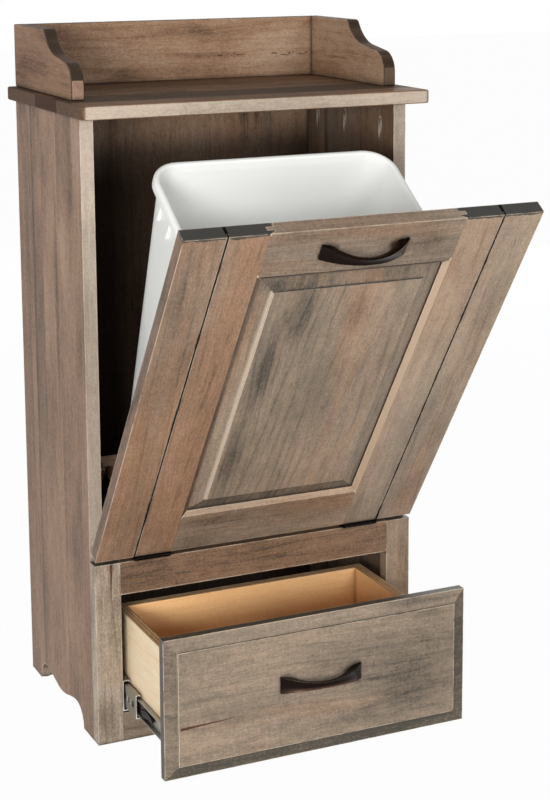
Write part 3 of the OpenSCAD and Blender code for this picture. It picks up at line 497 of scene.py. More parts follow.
    # arrises are lightened by wear and by painted highlight
    open_edge = g.times(
        g.remap(g.flatness(2.8 * MM), 0.99, 0.9), g.remap(rub, 0.3, 0.6),
        g.calc("SUBTRACT", 1, g.times(open_end, 0.75)), g.remap(hollow, 0.75, 0.95),
        *[g.calc("SUBTRACT", 1, box_mask(g, point, *box)) for box in flush_joints(name)], worn)
    g.shade(g.blend(open_edge, colour, RUBBED_AND_LIT), g.remap(stain, 0, 1.1, gloss - 0.05, gloss + 0.12),
            Normal=g.bump(wood["Height"], 0.3 * MM, 0.8), Specular_IOR_Level=specular,
            Coat_Weight=0.2 * shine, Coat_Roughness=0.32)
    return g.material


# Edges
CREASE = radians(34)


def ease(obj, width):
    """Rounds an object's edges."""
    eased = obj.modifiers.new("eased", "BEVEL")
    eased.width = width
    eased.segments = 3 if width > 1 * MM else 2
    eased.limit_method = "ANGLE"
    eased.angle_limit = CREASE
    eased.harden_normals = True
    return eased


def dress(name, material, width=0):
    """A CAD node keeps its shape, and gets a material and eased edges of that width."""
    obj = nodes[name]
    mesh = obj.data
    mesh.materials.clear()
    mesh.materials.append(material)
    if mesh.attributes.get("custom_normal"):
        mesh.attributes.remove(mesh.attributes["custom_normal"])
    for polygon in mesh.polygons:
        polygon.use_smooth = True
        polygon.material_index = 0
    uses = [0] * len(mesh.edges)
    for loop in mesh.loops:
        uses[loop.edge_index] += 1
    for edge, used in zip(mesh.edges, uses):
        edge.use_edge_sharp = used == 1
    obj.modifiers.new("weld", "WELD").merge_threshold = 0.02 * MM
    if width > 0:
        flat = obj.modifiers.new("flat", "DECIMATE")
        flat.decimate_type = "DISSOLVE"
        flat.angle_limit = radians(0.6)
        eased = ease(obj, width)
        # the short edges of a sawn curve would hold back a wide bevel
        eased.use_clamp_overlap = width < 1.2 * MM
        eased.miter_outer = "MITER_ARC"
    else:
        obj.modifiers.new("smooth", "EDGE_SPLIT").split_angle = radians(32)


# Light and floor
def area(name, place, aim, width, height, watts):
    data = bpy.data.lights.new(name, "AREA")
    data.shape = "RECTANGLE"
    data.size = width
    data.size_y = height
    data.energy = watts
    lamp = add_object(name, data)
    lamp.location = place
    lamp.rotation_euler = (Vector(aim) - Vector(place)).to_track_quat("-Z", "Y").to_euler()


def seen_directly(g):
    """1 for rays from the camera and for mirror-like or see-through ones."""
    path = g.put("LightPath").outputs
    either = g.calc("MAXIMUM", path["Is Camera Ray"], path["Is Glossy Ray"])
    return g.calc("MAXIMUM", either, path["Is Transmission Ray"])


def set_world():
    """A soft warm light all round, which is seen as plain white."""
    world = bpy.data.worlds.new("studio")
    world.use_nodes = True
    scene.world = world
    world.node_tree.nodes.clear()
    g = Graph(world.node_tree)
    rise = g.split(g.put("TexCoord").outputs["Generated"])[2]
    soft = g.put("Background", {"Color": (1, 0.985, 0.965, 1), "Strength": g.remap(rise, -0.05, 0.9, 0.3, 0.2)})
    white = g.put("Background", {"Color": (1, 1, 1, 1), "Strength": 1})
    both = g.put("MixShader", {0: seen_directly(g), 1: soft.outputs[0], 2: white.outputs[0]})
    g.put("OutputWorld", {0: both.outputs[0]})


def add_floor():
    """White paper that shows only a trace of the part's shadow."""
    mesh = bpy.data.meshes.new("floor")
    half = 14
    mesh.from_pydata([(-half, -half, 0), (half, -half, 0), (half, half, 0), (-half, half, 0)], [], [(0, 1, 2, 3)])
    floor = add_object("floor", mesh)
    g = new_material("floor_paper")
    g.shade((0.62, 0.62, 0.62, 1), 0.9, Specular_IOR_Level=0.1)
    white = g.put("Emission", {"Color": (1, 1, 1, 1), "Strength": 1})
    veil = g.put("MixShader", {0: g.times(seen_directly(g), 0.975), 1: g.shader.outputs[0], 2: white.outputs[0]})
    g.feed(g.tree.nodes["Material Output"].inputs[0], veil.outputs[0])
    mesh.materials.append(g.material)


scene.view_settings.view_transform = "Standard"
set_world()
add_floor()
area("key", (-2.5, -3.3, 0.95), (0, -0.1, 0.5), 1.7, 1.1, 132)
area("fill_left", (-3.6, -0.4, 0.8), (0, 0, 0.5), 1.5, 1.5, 5)
area("fill_front", (1, -3.9, 1.35), (0, -0.1, 0.7), 0.9, 0.5, 40)
# lights the back and the right side, and hardly reaches what the camera sees
area("fill_rear", (1.8, 3.4, 0.75), (0.1, 0, 0.5), 1.6, 1.1, 55)


# Boards of stained maple: the axes along and across the grain, seed, tone, warmth, and the rest of the look. A
# shade or fleck is its centre and its reach, along and across, and its strength. A crack is its ends and width.
SIDE_STRIPS = [(-0.1366, 0.55), (-0.098, 0.46), (-0.03, 0.58), (0.042, 0.5), (0.079, 0.22), (0.089, 0.56),
               (0.108, 0.4)]
TOP_STRIPS = [(-0.2, 0.66), (-0.135, 0.12), (-0.05, 0.6), (0.04, 0.32)]
# painted light and shade on the door frame's moulded edges that face right, left, down and up
DOOR_EDGE_SHADING = (0.42, -0.48, 0.4, -0.38)
DOOR_STILE = dict(blotch=0.3, flank=0.3, raised=DOOR_EDGE_SHADING, end=END_DARK, groove=True)
wood_of = {
    "side_panel_left": ("ZY", 1, 0.72, 1.6, dict(
        blotch=0.5, rings=0.3, strips=SIDE_STRIPS, inside=("X", 1), front=-0.3, front_tint=EDGE_TINT,
        shades=[(0.42, 0.02, 0.14, 0.04, 0.32), (0.62, -0.018, 0.18, 0.012, 0.34),
                (0.62, 0.09, 0.3, 0.05, 0.22), (0.16, 0.07, 0.1, 0.05, 0.2),
                (0.78, -0.09, 0.05, 0.03, 0.24), (0.7, -0.05, 0.08, 0.03, -0.22),
                (0.28, -0.08, 0.12, 0.03, 0.22), (0.8, 0.02, 0.04, 0.05, 0.18)],
        flecks=[(0.6, -0.018, 0.14, 0.009, 0.9), (0.74, -0.02, 0.06, 0.006, 0.8),
                (0.62, 0.062, 0.1, 0.005, 0.8)])),
    "side_panel_right": ("ZY", 2.3, 0.52, 0.8, dict(
        strips=SIDE_STRIPS, inside=("X", -1), dim=0.52, front_tint=EDGE_TINT)),
    # its inner face is darkened as painted shade, with a paler band near the top as painted light
    "back_panel": ("ZX", 3.1, 0.5, 0.9, dict(
        inside=("Y", -1), dim=0.15, dim_rise=(0.79, 0.865, 0.9), shine=0.1)),
    "rear_bottom_rail": ("XZ", 4.7, 0.5, 0.5),
    "top_board": ("XY", 5.2, 0.84, 1.45, dict(
        gloss=0.54, rings=0.4, strips=TOP_STRIPS, shine=0.07, front=-0.47, front_tint=EDGE_TINT,
        end=rgb(116, 91, 73), end_depth=0.85, end_block=(((-1, -0.077), (1, 0.02)), rgb(72, 42, 28)))),
    "gallery_back": ("XZ", 6.4, 0.54, 1.35, dict(
        blotch=0.5, up=0.5, shine=0.12, glaze=0.5,
        shades=[(-0.09, 0.915, 0.06, 0.016, 0.42), (-0.18, 0.945, 0.06, 0.05, 0.26),
                (0.17, 0.94, 0.1, 0.05, -0.24), (0, 0.98, 0.13, 0.018, 0.2)],
        flecks=[(0.08, 0.943, 0.05, 0.004, 0.8), (0.19, 0.942, 0.05, 0.005, 0.9),
                (-0.19, 0.93, 0.04, 0.01, 0.5)])),
    "gallery_left": ("YZ", 7.3, 0.72, 1.8, dict(
        blotch=0.35, up=0.5, shine=0.1, glaze=0.5,
        pale=rgb(172, 138, 110), deep=rgb(80, 54, 38), end=rgb(54, 44, 33),
        nose=0.85, nose_tint=(rgb(176, 143, 124), rgb(120, 90, 74)))),
    "gallery_right": ("YZ", 8.8, 0.46, 1.1, dict(
        up=0.5, shine=0.1, glaze=0.5, end=rgb(50, 38, 28),
        nose=0.35, nose_tint=(rgb(150, 125, 100), rgb(96, 76, 58)))),
    "frame_stile_left": ("ZX", 9.6, 0.33, 0.35, dict(
        worn=1, blotch=0.5, pale=rgb(192, 176, 158),
        # the last shade paints the stile's upper part paler, as painted light
        shades=[(0.262, -0.223, 0.012, 0.005, 0.6), (0.04, -0.235, 0.04, 0.02, 0.4),
                (0.66, -0.235, 0.22, 0.05, -0.25)],
        cracks=[(0.2655, -0.2235, 0.203, -0.2245, 0.0034)])),
    "frame_stile_right": ("ZX", 10.9, 0.5, 0.6, dict(worn=1)),
    "frame_rail_middle": ("XZ", 11.5, 0.8, 1.1, dict(blotch=0.5)),
    "frame_rail_bottom": ("XZ", 12.2, 0.66, 0.3),
    "bay_floor": ("XY", 13.4, 0.9, 0.4),
    "slide_block_left": ("YZ", 14.2, 0.8, 0.5),
    "slide_block_right": ("YZ", 15.8, 0.8, 0.5),
    "tilt_stop_left": ("ZY", 16.1, 0.8, 0.8),
    "tilt_stop_right": ("ZY", 17.6, 0.8, 0.8),
    "door_stile_left": ("ZX", 18.3, 0.64, 0.95, dict(
        DOOR_STILE, rings=0.8, shades=[(0.36, -0.2, 0.1, 0.03, 0.12)])),
    "door_stile_right": ("ZX", 19.7, 0.47, 0.5, dict(
        DOOR_STILE, rings=0.7,
        shades=[(0.7, 0.225, 0.12, 0.02, 0.25), (0.34, 0.22, 0.06, 0.03, 0.25)])),
    "door_rail_top": ("XZ", 20.4, 0.58, 0.45, dict(
        ripple=0.6, raised=DOOR_EDGE_SHADING,
        shades=[(0.09, 0.85, 0.05, 0.03, 0.32), (-0.1, 0.875, 0.09, 0.012, 0.22)])),
    "door_rail_bottom": ("XZ", 21.9, 0.54, 0.55, dict(
        ripple=0.5, raised=DOOR_EDGE_SHADING,
        shades=[(-0.08, 0.33, 0.07, 0.012, 0.25), (-0.11, 0.29, 0.04, 0.02, 0.25)])),
    "door_panel": ("ZX", 22.6, 0.52, 0.5, dict(
        blotch=0.3, rings=1, raised=(0.1, 0.02, 0.42, 0.18),
        deep=GREY_DEEP, field=(0.85, 0.0062, (0.55, 0.8, 0.92), (0.0009, 0.0012, 0.0024)),
        shades=[(0.64, -0.085, 0.13, 0.02, 0.62), (0.74, -0.055, 0.07, 0.022, 0.42),
                (0.47, -0.088, 0.08, 0.016, 0.45), (0.73, 0.03, 0.05, 0.03, 0.22),
                (0.6, 0.01, 0.12, 0.03, 0.16), (0.79, -0.1, 0.02, 0.04, 0.3),
                (0.795, 0.05, 0.018, 0.04, 0.3)])),
    "carrier_base": ("XY", 23.5, 0.7, 0.8),
    "carrier_back_rail": ("XZ", 24.8, 0.7, 0.8),
    "drawer_front": ("XZ", 25.2, 0.49, 0.3, dict(
        blotch=0.4, ripple=0.5, raised=(0.36, 0.16, 0.52, 0.04),
        up=0.75, deep=GREY_DEEP, field=(0.5, 0.0016, (0.6, 0.45, 0.55), (0.0009, 0.0008, 0.0008)),
        shades=[(0.13, 0.09, 0.08, 0.04, 0.34), (0.02, 0.075, 0.09, 0.02, 0.2),
                (0.14, 0.13, 0.17, 0.12, 0.34), (0.15, 0.222, 0.06, 0.01, 0.35),
                (0.17, 0.2, 0.03, 0.01, 0.3), (-0.17, 0.075, 0.03, 0.012, -0.1)],
        cracks=[(-0.204, 0.1035, -0.112, 0.1065, 0.0042)])),
}
for name, (grain, seed, tone, warm, *look) in wood_of.items():
    edge = 0.5 if name.startswith(FLUSH) else 2.6 if name == "top_board" else 1.8 if "gallery" in name else 0.9
    dress(name, stained_wood(name, grain, seed, tone, warm, **(look[0] if look else {})), edge * MM)


def pale_wood(name, node, grain, seed, light=rgb(255, 242, 214), deep=rgb(240, 204, 156), layers=0, shaded_inside=None):
    """Clear-finished pale wood. layers is how many glued sheets a metre show on the faces turned up or down.
    inward is the direction of the faces that look into the box, which are darker and warmer as painted shade;
    corners also take painted shade.
    """
    g = new_material(name)
    point, normal = board_vectors(g, node, grain)
    facing = g.split(normal)
    wood = figured(g, point, seed, 0.15, 0.9, 0.1)
    colour = g.blend(g.remap(wood["Stain"], 0.1, 0.9, smooth=False), light, deep)
    if layers:
        ragged = g.noise(point, 60, 60, 2, through=900)
        sheet = g.calc("PINGPONG", g.scaled(g.split(point)[2], layers, ragged), 0.5)
        striped = g.blend(g.remap(sheet, 0.15, 0.35), rgb(168, 120, 76), rgb(226, 196, 152))
        colour = g.blend(g.remap(g.calc("ABSOLUTE", facing[2]), 0.5, 0.8), colour, striped)
    # faces that look into the drawer box are darker and warmer, as painted shade
    if shaded_inside:
        colour = g.blend(turned_in(g, facing, *shaded_inside), colour, (0.93, 0.69, 0.46, 1), "MULTIPLY")
    # painted shade in the corners
    colour = g.blend(g.remap(g.openness(12 * MM), 0.9, 0.4, 0, 0.5), colour, rgb(120, 78, 44))
    g.shade(colour, g.remap(wood["Stain"], 0, 1, 0.36, 0.48), Normal=g.bump(wood["Height"], 0.15 * MM, 0.6))
    return g.material


# The drawer's box
for number, (name, grain, shaded_inside) in enumerate((
        ("drawer_box_front", "XZ", ("Y", 1)), ("drawer_box_back", "XZ", ("Y", -1)),
        ("drawer_side_left", "YZ", ("X", 1)), ("drawer_side_right", "YZ", ("X", -1)),
        ("drawer_bottom", "XY", ("Z", 1)))):
    layers = 0 if name == "drawer_bottom" else 210
    finish = pale_wood("pale_" + name, name, grain, 30 + 1.7 * number, layers=layers, shaded_inside=shaded_inside)
    dress(name, finish, 0.6 * MM)

# The bin carrier's plywood brackets
for number, side in enumerate(("left", "right")):
    for ply in ("outer", "inner"):
        name = f"bracket_{side}_{ply}_ply"
        finish = pale_wood(f"ply_{side}_{ply}", name, "ZY", 40 + 3.1 * number, light=rgb(196, 152, 112),
                           deep=rgb(140, 98, 66), layers=390)
        dress(name, finish, 0.4 * MM)


def metal(name, colour, rough, bare_and_highlight, metallic=1, edge_wear_and_highlight=0.5, painted_sheen=0, grime_and_shade=0):
    """Metal whose edges take the bare colour, as wear and as painted highlight. rubbed gives faces that look up and
    forward the bare colour as a painted highlight. grime is how far dirt and painted shade reach from corners, on
    a metal whose front faces take the bare colour as a painted highlight."""
    g = new_material(name)
    coords = g.put("TexCoord").outputs
    point, facing = coords["Object"], g.split(coords["Normal"])
    smudge = g.noise(point, 60, 60, 4, 0.6)
    scratch = g.noise(point, 900, 90, 3, 0.7, through=900)
    dull = tuple(0.55 * c for c in colour[:3]) + (1,)
    base = g.blend(g.remap(smudge, 0.3, 0.75, 0, 0.35), colour, dull)
    rub = g.noise(point, 140, 140, 4, 0.7)
    # edges take the bare colour as wear and as painted highlight
    worn = g.times(g.remap(g.flatness(1 * MM), 0.98, 0.85), g.remap(rub, 0.45, 0.62, 0, edge_wear_and_highlight))
    base = g.blend(worn, base, bare_and_highlight)
    if painted_sheen:
        # faces that look up and forward take a painted highlight
        sheen_faces = g.times(g.remap(facing[2], 0.02, 0.3), g.remap(facing[1], -0.5, -0.8))
        base = g.blend(g.times(sheen_faces, painted_sheen), base, bare_and_highlight)
    if grime_and_shade:
        # grime and painted shade darken the corners; front faces take a painted highlight
        base = g.blend(g.remap(g.openness(grime_and_shade), 0.8, 0.35, 0, 0.97), base, rgb(16, 15, 15))
        base = g.blend(g.remap(facing[1], -0.8, -0.95), base, bare_and_highlight)
    wear = g.remap(g.scaled(scratch, 0.4, smudge), 0.3, 1, rough - 0.08, rough + 0.12)
    g.shade(base, wear, Normal=g.bump(scratch, 0.05 * MM, 0.4), Metallic=metallic)
    return g.material


def plastic(name, colour, rough, painted_light=0):
    """Moulded plastic with faint scuffs. glow is painted light: a faint emission that brightens the plastic."""
    g = new_material(name)
    coords = g.put("TexCoord").outputs["Object"]
    cloud = g.noise(coords, 9, 9)
    pebble = g.noise(coords, 1400, 1400, 2)
    scuff = g.noise(coords, 35, 35, 4, 0.7, through=210)
    dull = tuple(0.84 * c for c in colour[:3]) + (1,)
    marks = g.plus(g.remap(cloud, 0.3, 0.8, 0, 0.16), g.remap(scuff, 0.62, 0.8, 0, 0.25))
    # painted light: a faint emission, though the plastic is no lamp
    light = dict(Emission_Color=(1, 1, 0.98, 1), Emission_Strength=painted_light) if painted_light else {}
    g.shade(g.blend(marks, colour, dull), g.remap(cloud, 0.2, 0.8, rough - 0.04, rough + 0.06),
            Normal=g.bump(pebble, 0.04 * MM, 0.5), **light)
    return g.material


# the bronze has a painted highlight on faces that look up and forward
bronze = metal("dark_bronze", rgb(34, 26, 23), 0.24, rgb(118, 88, 74), painted_sheen=0.55)
hinge_black = metal("hinge_black", rgb(22, 19, 18), 0.3, rgb(74, 60, 52), edge_wear_and_highlight=0.3)
# the zinc has painted highlights on edges and front faces, and painted shade in its corners
zinc = metal("zinc_plate", rgb(176, 174, 166), 0.34, rgb(250, 249, 244), metallic=0.8, edge_wear_and_highlight=0.95, grime_and_shade=9 * MM)
# the bin glows faintly, as painted light
white_plastic = plastic("bin_plastic", rgb(236, 237, 234), 0.36, painted_light=0.055)
black_plastic = plastic("black_plastic", rgb(18, 18, 19), 0.42)


# Shapes made in mesh code. A skin is a list of points and a list of faces.
def add_piece(name, skin, material, body, *stands_for, sharp=None, bevel=0):
    """A piece that rides on a body. sharp is the angle from which an edge is a crease."""
    shape = bmesh.new()
    points, faces = skin
    corners = [shape.verts.new(point) for point in points]
    for face in faces:
        shape.faces.new([corners[i] for i in face])
    bmesh.ops.recalc_face_normals(shape, faces=shape.faces)
    mesh = bpy.data.meshes.new(name)
    shape.to_mesh(mesh)
    shape.free()
    for polygon in mesh.polygons:
        polygon.use_smooth = True
    if sharp:
        mesh.set_sharp_from_angle(angle=radians(sharp))
    mesh.materials.append(material)
    piece = add_object(name, mesh)
    if bevel:
        ease(piece, bevel)
    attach(piece, body)
    if stands_for:
        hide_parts(*stands_for)
    return piece


def moved(skin, pose):
    points, faces = skin
    return [pose @ point for point in points], faces


def loft(rings):
    """A skin through rings of as many points each, with a fan over both ends."""
    count = len(rings[0])
    points = [point for ring in rings for point in ring]
    last = len(points) - count
    after = [(j + 1) % count for j in range(count)]
    faces = [(i + j, i + after[j], i + count + after[j], i + count + j)
             for i in range(0, last, count) for j in range(count)]
    for start in (0, last):
        points.append(sum(points[start:start + count], Vector()) / count)
        hub = len(points) - 1
        faces += [(start + j, start + after[j], hub) for j in range(count)]
    return points, faces


def join(skins):
    """Several skins as one."""
    points, faces = [], []
    for more_points, more_faces in skins:
        first = len(points)
        points += more_points
        faces += [tuple(first + i for i in face) for face in more_faces]
    return points, faces


def cells(cuts, solid=lambda i, j, k: True):
    """Skin of the cells that solid keeps. cuts are the cells' borders along X, Y and Z."""
    spans = [range(len(cut) - 1) for cut in cuts]
    kept = {(i, j, k) for i in spans[0] for j in spans[1] for k in spans[2] if solid(i, j, k)}
    index, faces = {}, []
    for cell in sorted(kept):
        for axis in range(3):
            u, v = (a for a in range(3) if a != axis)
            for side in (0, 1):
                beside = list(cell)
                beside[axis] += 2 * side - 1
                if tuple(beside) in kept:
                    continue
                face = []
                for du, dv in ((0, 0), (1, 0), (1, 1), (0, 1)):
                    at = list(cell)
                    at[axis] += side
                    at[u] += du
                    at[v] += dv
                    face.append(index.setdefault(tuple(at), len(index)))
                faces.append(face)
    return [Vector([cut[i] for cut, i in zip(cuts, at)]) for at in index], faces


def shut_box(name):
    """Lowest and highest corner of a node as it lies when the door is shut."""
    points = shut_points(name)
    return tuple(Vector([pick(p[i] for p in points) for i in range(3)]) for pick in (min, max))


# The bin: one moulded shell with a turned-down rim, a ledge inside it and ribs under it
bin_low, bin_high = shut_box("trash_bin")
bin_h = bin_high.z - bin_low.z
BIN_CORNER = 42 * MM
RIM_OUT = 6.5 * MM
FOOT_IN = (33 * MM, 16 * MM, 62 * MM)  # how far the foot lies inside the rim at the sides, in front and behind
ARC_STEPS = 9


def rounded_ring(inset_x, inset_front, inset_back, radius, z):
    """Points of a rounded rectangle inside the bin's outline, anticlockwise."""
    x = bin_high.x - inset_x - radius
    y_front = bin_low.y + inset_front + radius
    y_back = bin_high.y - inset_back - radius
    ring = []
    for centre_x, centre_y, start in ((x, y_back, 0), (-x, y_back, 90), (-x, y_front, 180), (x, y_front, 270)):
        for i in range(ARC_STEPS + 1):
            turn = radians(start + 90 * i / ARC_STEPS)
            ring.append(Vector((centre_x + radius * cos(turn), centre_y + radius * sin(turn), z)))
    return ring


def wall_ring(height, out):
    """Ring of the tapered wall, moved out by that much, in millimetres over the base."""
    share = height * MM / bin_h
    insets = [foot + (RIM_OUT - foot) * share - out * MM for foot in FOOT_IN]
    return rounded_ring(*insets, BIN_CORNER - RIM_OUT + out * MM, bin_low.z + height * MM)


def rim_ring(drop, inset):
    """Ring of the rim, that far below its top and in from its outline, in millimetres."""
    inset *= MM
    return rounded_ring(inset, inset, inset, BIN_CORNER - inset, bin_high.z - drop * MM)


def bin_ribs():
    """Short ribs under the rim, on both sides near the back."""
    ribs = []
    width, height, depth = 3.6 * MM, 38 * MM, 5 * MM
    top = bin_high.z - 10 * MM
    for side in (-1, 1):
        for from_back in (62 * MM, 98 * MM):
            y = bin_high.y - from_back
            outer = side * (bin_high.x - 5 * MM)
            ribs.append(cells((sorted((outer, outer - side * depth)), [y, y + width], [top - height, top])))
    return ribs


def add_bin():
    top = bin_h / MM
    outside = ((0, -9), (0, -5.5), (0.7, -3), (2.4, -1.1), (5.5, -0.2), (10, 0), (top / 3, 0), (2 * top / 3, 0),
               (top - 5, 0), (top - 3.4, 0.3), (top - 2.7, 1))
    rim = ((2.7, 3.6), (3.4, 2.7), (13.2, 2.4), (13.9, 1.9), (14, 1.2), (13.6, 0.4), (12.8, 0), (4.6, 0),
           (2.4, 0.5), (0.9, 1.7), (0.1, 3.6), (0, 5.6), (0.4, 7.2), (1.4, 8.3), (3.2, 8.9))
    within = ((top - 9.5, -2.6), (top - 10.6, -2.7), (top - 11.2, -2.95), (top - 13, -3.05), (top - 30, -3.1),
              (2 * top / 3, -3.2), (top / 3, -3.2), (14, -3.2), (8, -4.6), (5, -7.5), (4, -12))
    rings = [wall_ring(*at) for at in outside] + [rim_ring(*at) for at in rim] + [wall_ring(*at) for at in within]
    skin = moved(join([loft(rings)] + bin_ribs()), door_pose)
    piece = add_piece("bin_shell", skin, white_plastic, "bin", "trash_bin", sharp=60)
    piece.modifiers.new("even", "WEIGHTED_NORMAL").keep_sharp = True


add_bin()


# Bow pulls, in millimetres: the bow and the flare are arcs, as seen from above and from the front
PULL = dict(half=60, out=27, end_h=23, mid_h=8, foot=3, thick=6, foot_len=14, hollow=1.1)
PULL_STEPS = 56
FACE_STEPS = 6


def sagitta(half, rise, x):
    """How far an arc with that rise over a chord of twice half has dropped at x from its middle."""
    radius = (half * half + rise * rise) / (2 * rise)
    return radius - sqrt(radius * radius - x * x)


def pull_section(x):
    """Ring of a pull's cross-section at x, with a hollowed face."""
    front = -PULL["out"] + sagitta(PULL["half"], PULL["out"] - PULL["foot"], x)
    inner_half = PULL["half"] - PULL["foot_len"]
    back = 0
    if abs(x) < inner_half:
        inner_out = PULL["out"] - PULL["thick"]
        back = -inner_out + sagitta(inner_half, inner_out, x)
    half_h = PULL["mid_h"] / 2 + sagitta(PULL["half"], (PULL["end_h"] - PULL["mid_h"]) / 2, x)
    hollow = PULL["hollow"] * min(1, half_h / 8)
    corners = [(front, -half_h), (front, half_h), (back, half_h), (back, -half_h)]
    ring = []
    for i, (y, z) in enumerate(corners):
        next_y, next_z = corners[(i + 1) % 4]
        for step in range(FACE_STEPS):
            share = step / FACE_STEPS
            dip = hollow * 4 * share * (1 - share)
            at = Vector((x, y + (next_y - y) * share, z + (next_z - z) * share))
            if i == 0:
                at.y += dip
            elif i in (1, 3) and back < 0:
                at.z += (-dip if i == 1 else dip) * 0.35
            ring.append(at * MM)
    return ring


def add_pull(body, low, high, pose):
    """low and high are the corners of the CAD pull before pose."""
    place = pose @ Matrix.Translation((0, high.y, (low.z + high.z) / 2))
    stations = [PULL["half"] * sin(pi / 2 * (2 * i / PULL_STEPS - 1)) for i in range(PULL_STEPS + 1)]
    skin = moved(loft([pull_section(x) for x in stations]), place)
    add_piece("bow_pull_" + body, skin, bronze, body, body + "_pull", sharp=40, bevel=0.7 * MM)


add_pull("door", *shut_box("door_pull"), door_pose)
add_pull("drawer", *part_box("drawer_pull"), Matrix.Identity(4))


# Screws with a square drive and a thread, in the place of the plain ones
SCREW_SIDES = 16
STEPS_PER_TURN = 4


def solids(name):
    """Points of each separate solid of a node."""
    shape = bmesh.new()
    shape.from_mesh(nodes[name].data)
    bmesh.ops.remove_doubles(shape, verts=shape.verts, dist=1e-6)
    seen, found = set(), []
    for first in shape.verts:
        if first in seen:
            continue
        seen.add(first)
        stack, group = [first], []
        while stack:
            vertex = stack.pop()
            group.append(vertex.co.copy())
            beside = [edge.other_vert(vertex) for edge in vertex.link_edges]
            stack += [other for other in beside if other not in seen]
            seen.update(beside)
        found.append(group)
    shape.free()
    return found


def screw_skin(group):
    """Skin of a screw where a plain one lies: its axis is the longest way through its points."""
    cloud = np.array([tuple(p) for p in group])
    middle = cloud.mean(0)
    axis = np.linalg.svd(cloud - middle)[2][0]
    along = (cloud - middle) @ axis
    radial = np.linalg.norm(cloud - middle - np.outer(along, axis), axis=1)
    near = 0.1 * MM
    if radial[along > along.max() - near].max() < radial[along < along.min() + near].max():
        axis, along = -axis, -along
    head_r = radial.max()
    head_h = along.max() - along[radial > 0.9 * head_r].min()
    shank_r = radial[along < along.min() + near].max()
    length = along.max() - along.min()
    pitch = 0.75 * shank_r

    def ring(z, radius, form="round"):
        made = []
        for i in range(SCREW_SIDES):
            share = i / SCREW_SIDES
            x, y = cos(2 * pi * share), sin(2 * pi * share)
            reach = radius
            if form == "square":
                reach /= max(abs(x), abs(y))
            elif form == "thread":
                reach *= 1 - 0.24 * abs(2 * ((z / pitch + share) % 1) - 1)
            made.append(Vector((reach * x, reach * y, z)))
        return made

    drive = 0.36 * head_r
    deep = min(0.75 * head_h, 1.4 * MM)
    rings = [ring(z, radius, "square") for z, radius in ((-deep, 0.55 * drive), (-deep, 0.92 * drive),
                                                         (-0.02 * MM, drive))]
    rings += [ring(-down * head_h, out * head_r) for down, out in ((0, 0.72), (0.12, 0.93), (0.32, 1), (0.92, 1),
                                                                   (1, 0.9))]
    rings.append(ring(-head_h, 0.95 * shank_r))
    start = head_h + 0.6 * MM
    count = max(4, round((length - start) / pitch * STEPS_PER_TURN))
    for i in range(count + 1):
        z = -start - (length - start) * i / count
        # the last turns run out in a point
        left = max(0.12, min(1, (length + z) / (3 * shank_r)))
        rings.append(ring(z, shank_r * left, "thread"))
    head = Vector(middle + axis * along.max())
    turn = Vector(axis).to_track_quat("Z", "Y").to_matrix().to_4x4()
    return moved(loft(rings), Matrix.Translation(head) @ turn)


for node in sorted(nodes):
    if node.endswith("_screws") or "_screws_" in node:
        finish = bronze if node.startswith(("hinge", "door_pull", "drawer_pull")) else zinc
        skin = join([screw_skin(group) for group in solids(node)])
        add_piece(node + "_threaded", skin, finish, body_of_node[node], node, sharp=32)


# Slides: a slotted middle member, a black retainer behind its slots, an end frame and a release lever
STEEL = 1.2 * MM
LIP = 2.6 * MM
HALF_SLOT = 4.2 * MM
GAP = 0.1 * MM
# where each slot starts from the front end, and its length
SLIDE_SLOTS = ((9, 12), (27, 7), (40, 26), (80, 30), (124, 30), (168, 14))
# side view of the lever, from a point that far in front of the middle member and at mid height
LEVER_AHEAD = 44
LEVER = ((-8, -3), (10, -3.4), (16, -6.5), (30, -6.5), (34, -3), (34, 1), (26, 2), (18, 4.5), (8, 5),
         (-4, 3), (-9, 0))


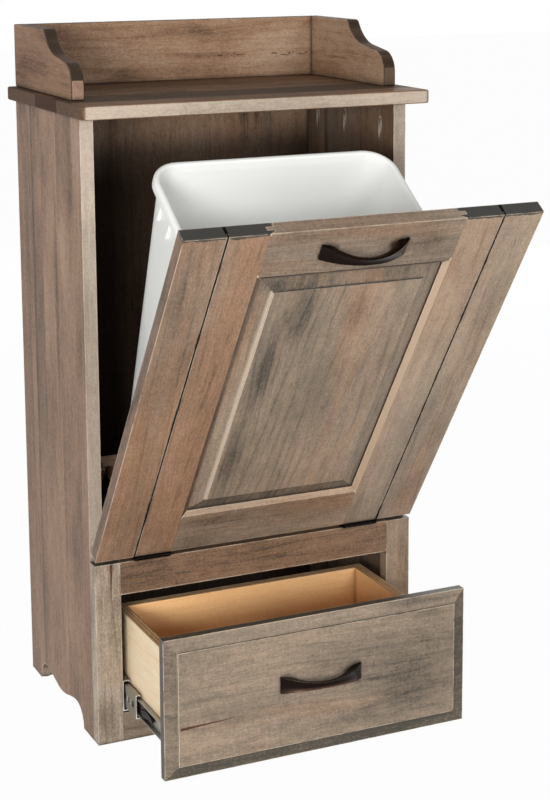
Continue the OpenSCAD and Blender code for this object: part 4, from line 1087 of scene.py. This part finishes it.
def add_slide(name, side):
    """side is -1 on the left. All is drawn on the right, where the web is away from the drawer."""
    low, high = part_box("slide_middle_" + name)
    web = max(abs(low.x), abs(high.x))
    inner = min(abs(low.x), abs(high.x))
    front = low.y
    mid = (low.z + high.z) / 2

    def part(kind, skin, material, *stands_for, body=name + "_middle_slide", **edges):
        mirror = Matrix.Diagonal((side, 1, 1, 1))
        add_piece(f"slide_{kind}_{name}", moved(skin, mirror), material, body, *stands_for, **edges)

    xs = [inner, inner + STEEL, web - STEEL, web]
    ys, slots = [front], set()
    for start, length in SLIDE_SLOTS:
        slots.add(len(ys))
        ys += [front + start * MM, front + (start + length) * MM]
    ys.append(high.y)
    zs = [low.z, low.z + STEEL, low.z + LIP, mid - HALF_SLOT, mid + HALF_SLOT, high.z - LIP, high.z - STEEL, high.z]

    def solid(i, j, k):
        if k in (0, 6):
            return True
        if i == 2:
            return not (j in slots and k == 3)
        return i == 0 and k in (1, 5)

    part("member", cells((xs, ys, zs), solid), zinc, "slide_middle_" + name, bevel=0.28 * MM)

    # the retainer lies on the web's inner face and shows in the slots
    back = web - STEEL - GAP
    half = 6.5 * MM
    retainer = cells(([back - 0.6 * MM, back], [front + 1 * MM, front + 72 * MM, front + 196 * MM],
                      [mid - half, mid + half]))
    part("retainer", retainer, black_plastic, bevel=0.15 * MM)

    # a black end of the ball cage fills the mouth round the inner member; its black also stands in for the shade
    # inside the mouth, as painted shade
    inner_low, inner_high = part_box("slide_inner_" + name)
    hole = (inner_high.z - inner_low.z) / 2 + 0.3 * MM
    xs = [inner + 1.4 * MM, web - STEEL - 0.9 * MM, back]
    zs = [low.z + STEEL + GAP, mid - hole, mid + hole, high.z - STEEL - GAP]
    cage = cells((xs, [front + 0.8 * MM, front + 3.4 * MM], zs), lambda i, j, k: not (i == 0 and k == 1))
    part("cage_end", cage, black_plastic, bevel=0.2 * MM)

    # the lever lies in the inner member's channel, and a catch stands at its rear end
    mouth = max(abs(inner_low.x), abs(inner_high.x))
    y_lever = front - LEVER_AHEAD * MM
    rings = [[Vector((x, y_lever + a * MM, mid + b * MM)) for a, b in LEVER]
             for x in (mouth - 4.6 * MM, mouth - 1.2 * MM)]
    part("lever", loft(rings), black_plastic, body="drawer", sharp=30, bevel=0.5 * MM)


add_slide("left", -1)
add_slide("right", 1)

# The nodes that keep their plain shapes
for name in sorted(node for node in nodes if "screws" not in node):
    if name.startswith("hinge_"):
        dress(name, hinge_black)
    elif name.startswith(("slide_outer", "slide_inner")):
        dress(name, zinc, 0.25 * MM)
    elif name.startswith("slide_balls"):
        dress(name, black_plastic)
dress("foot_glides", black_plastic, 0.3 * MM)
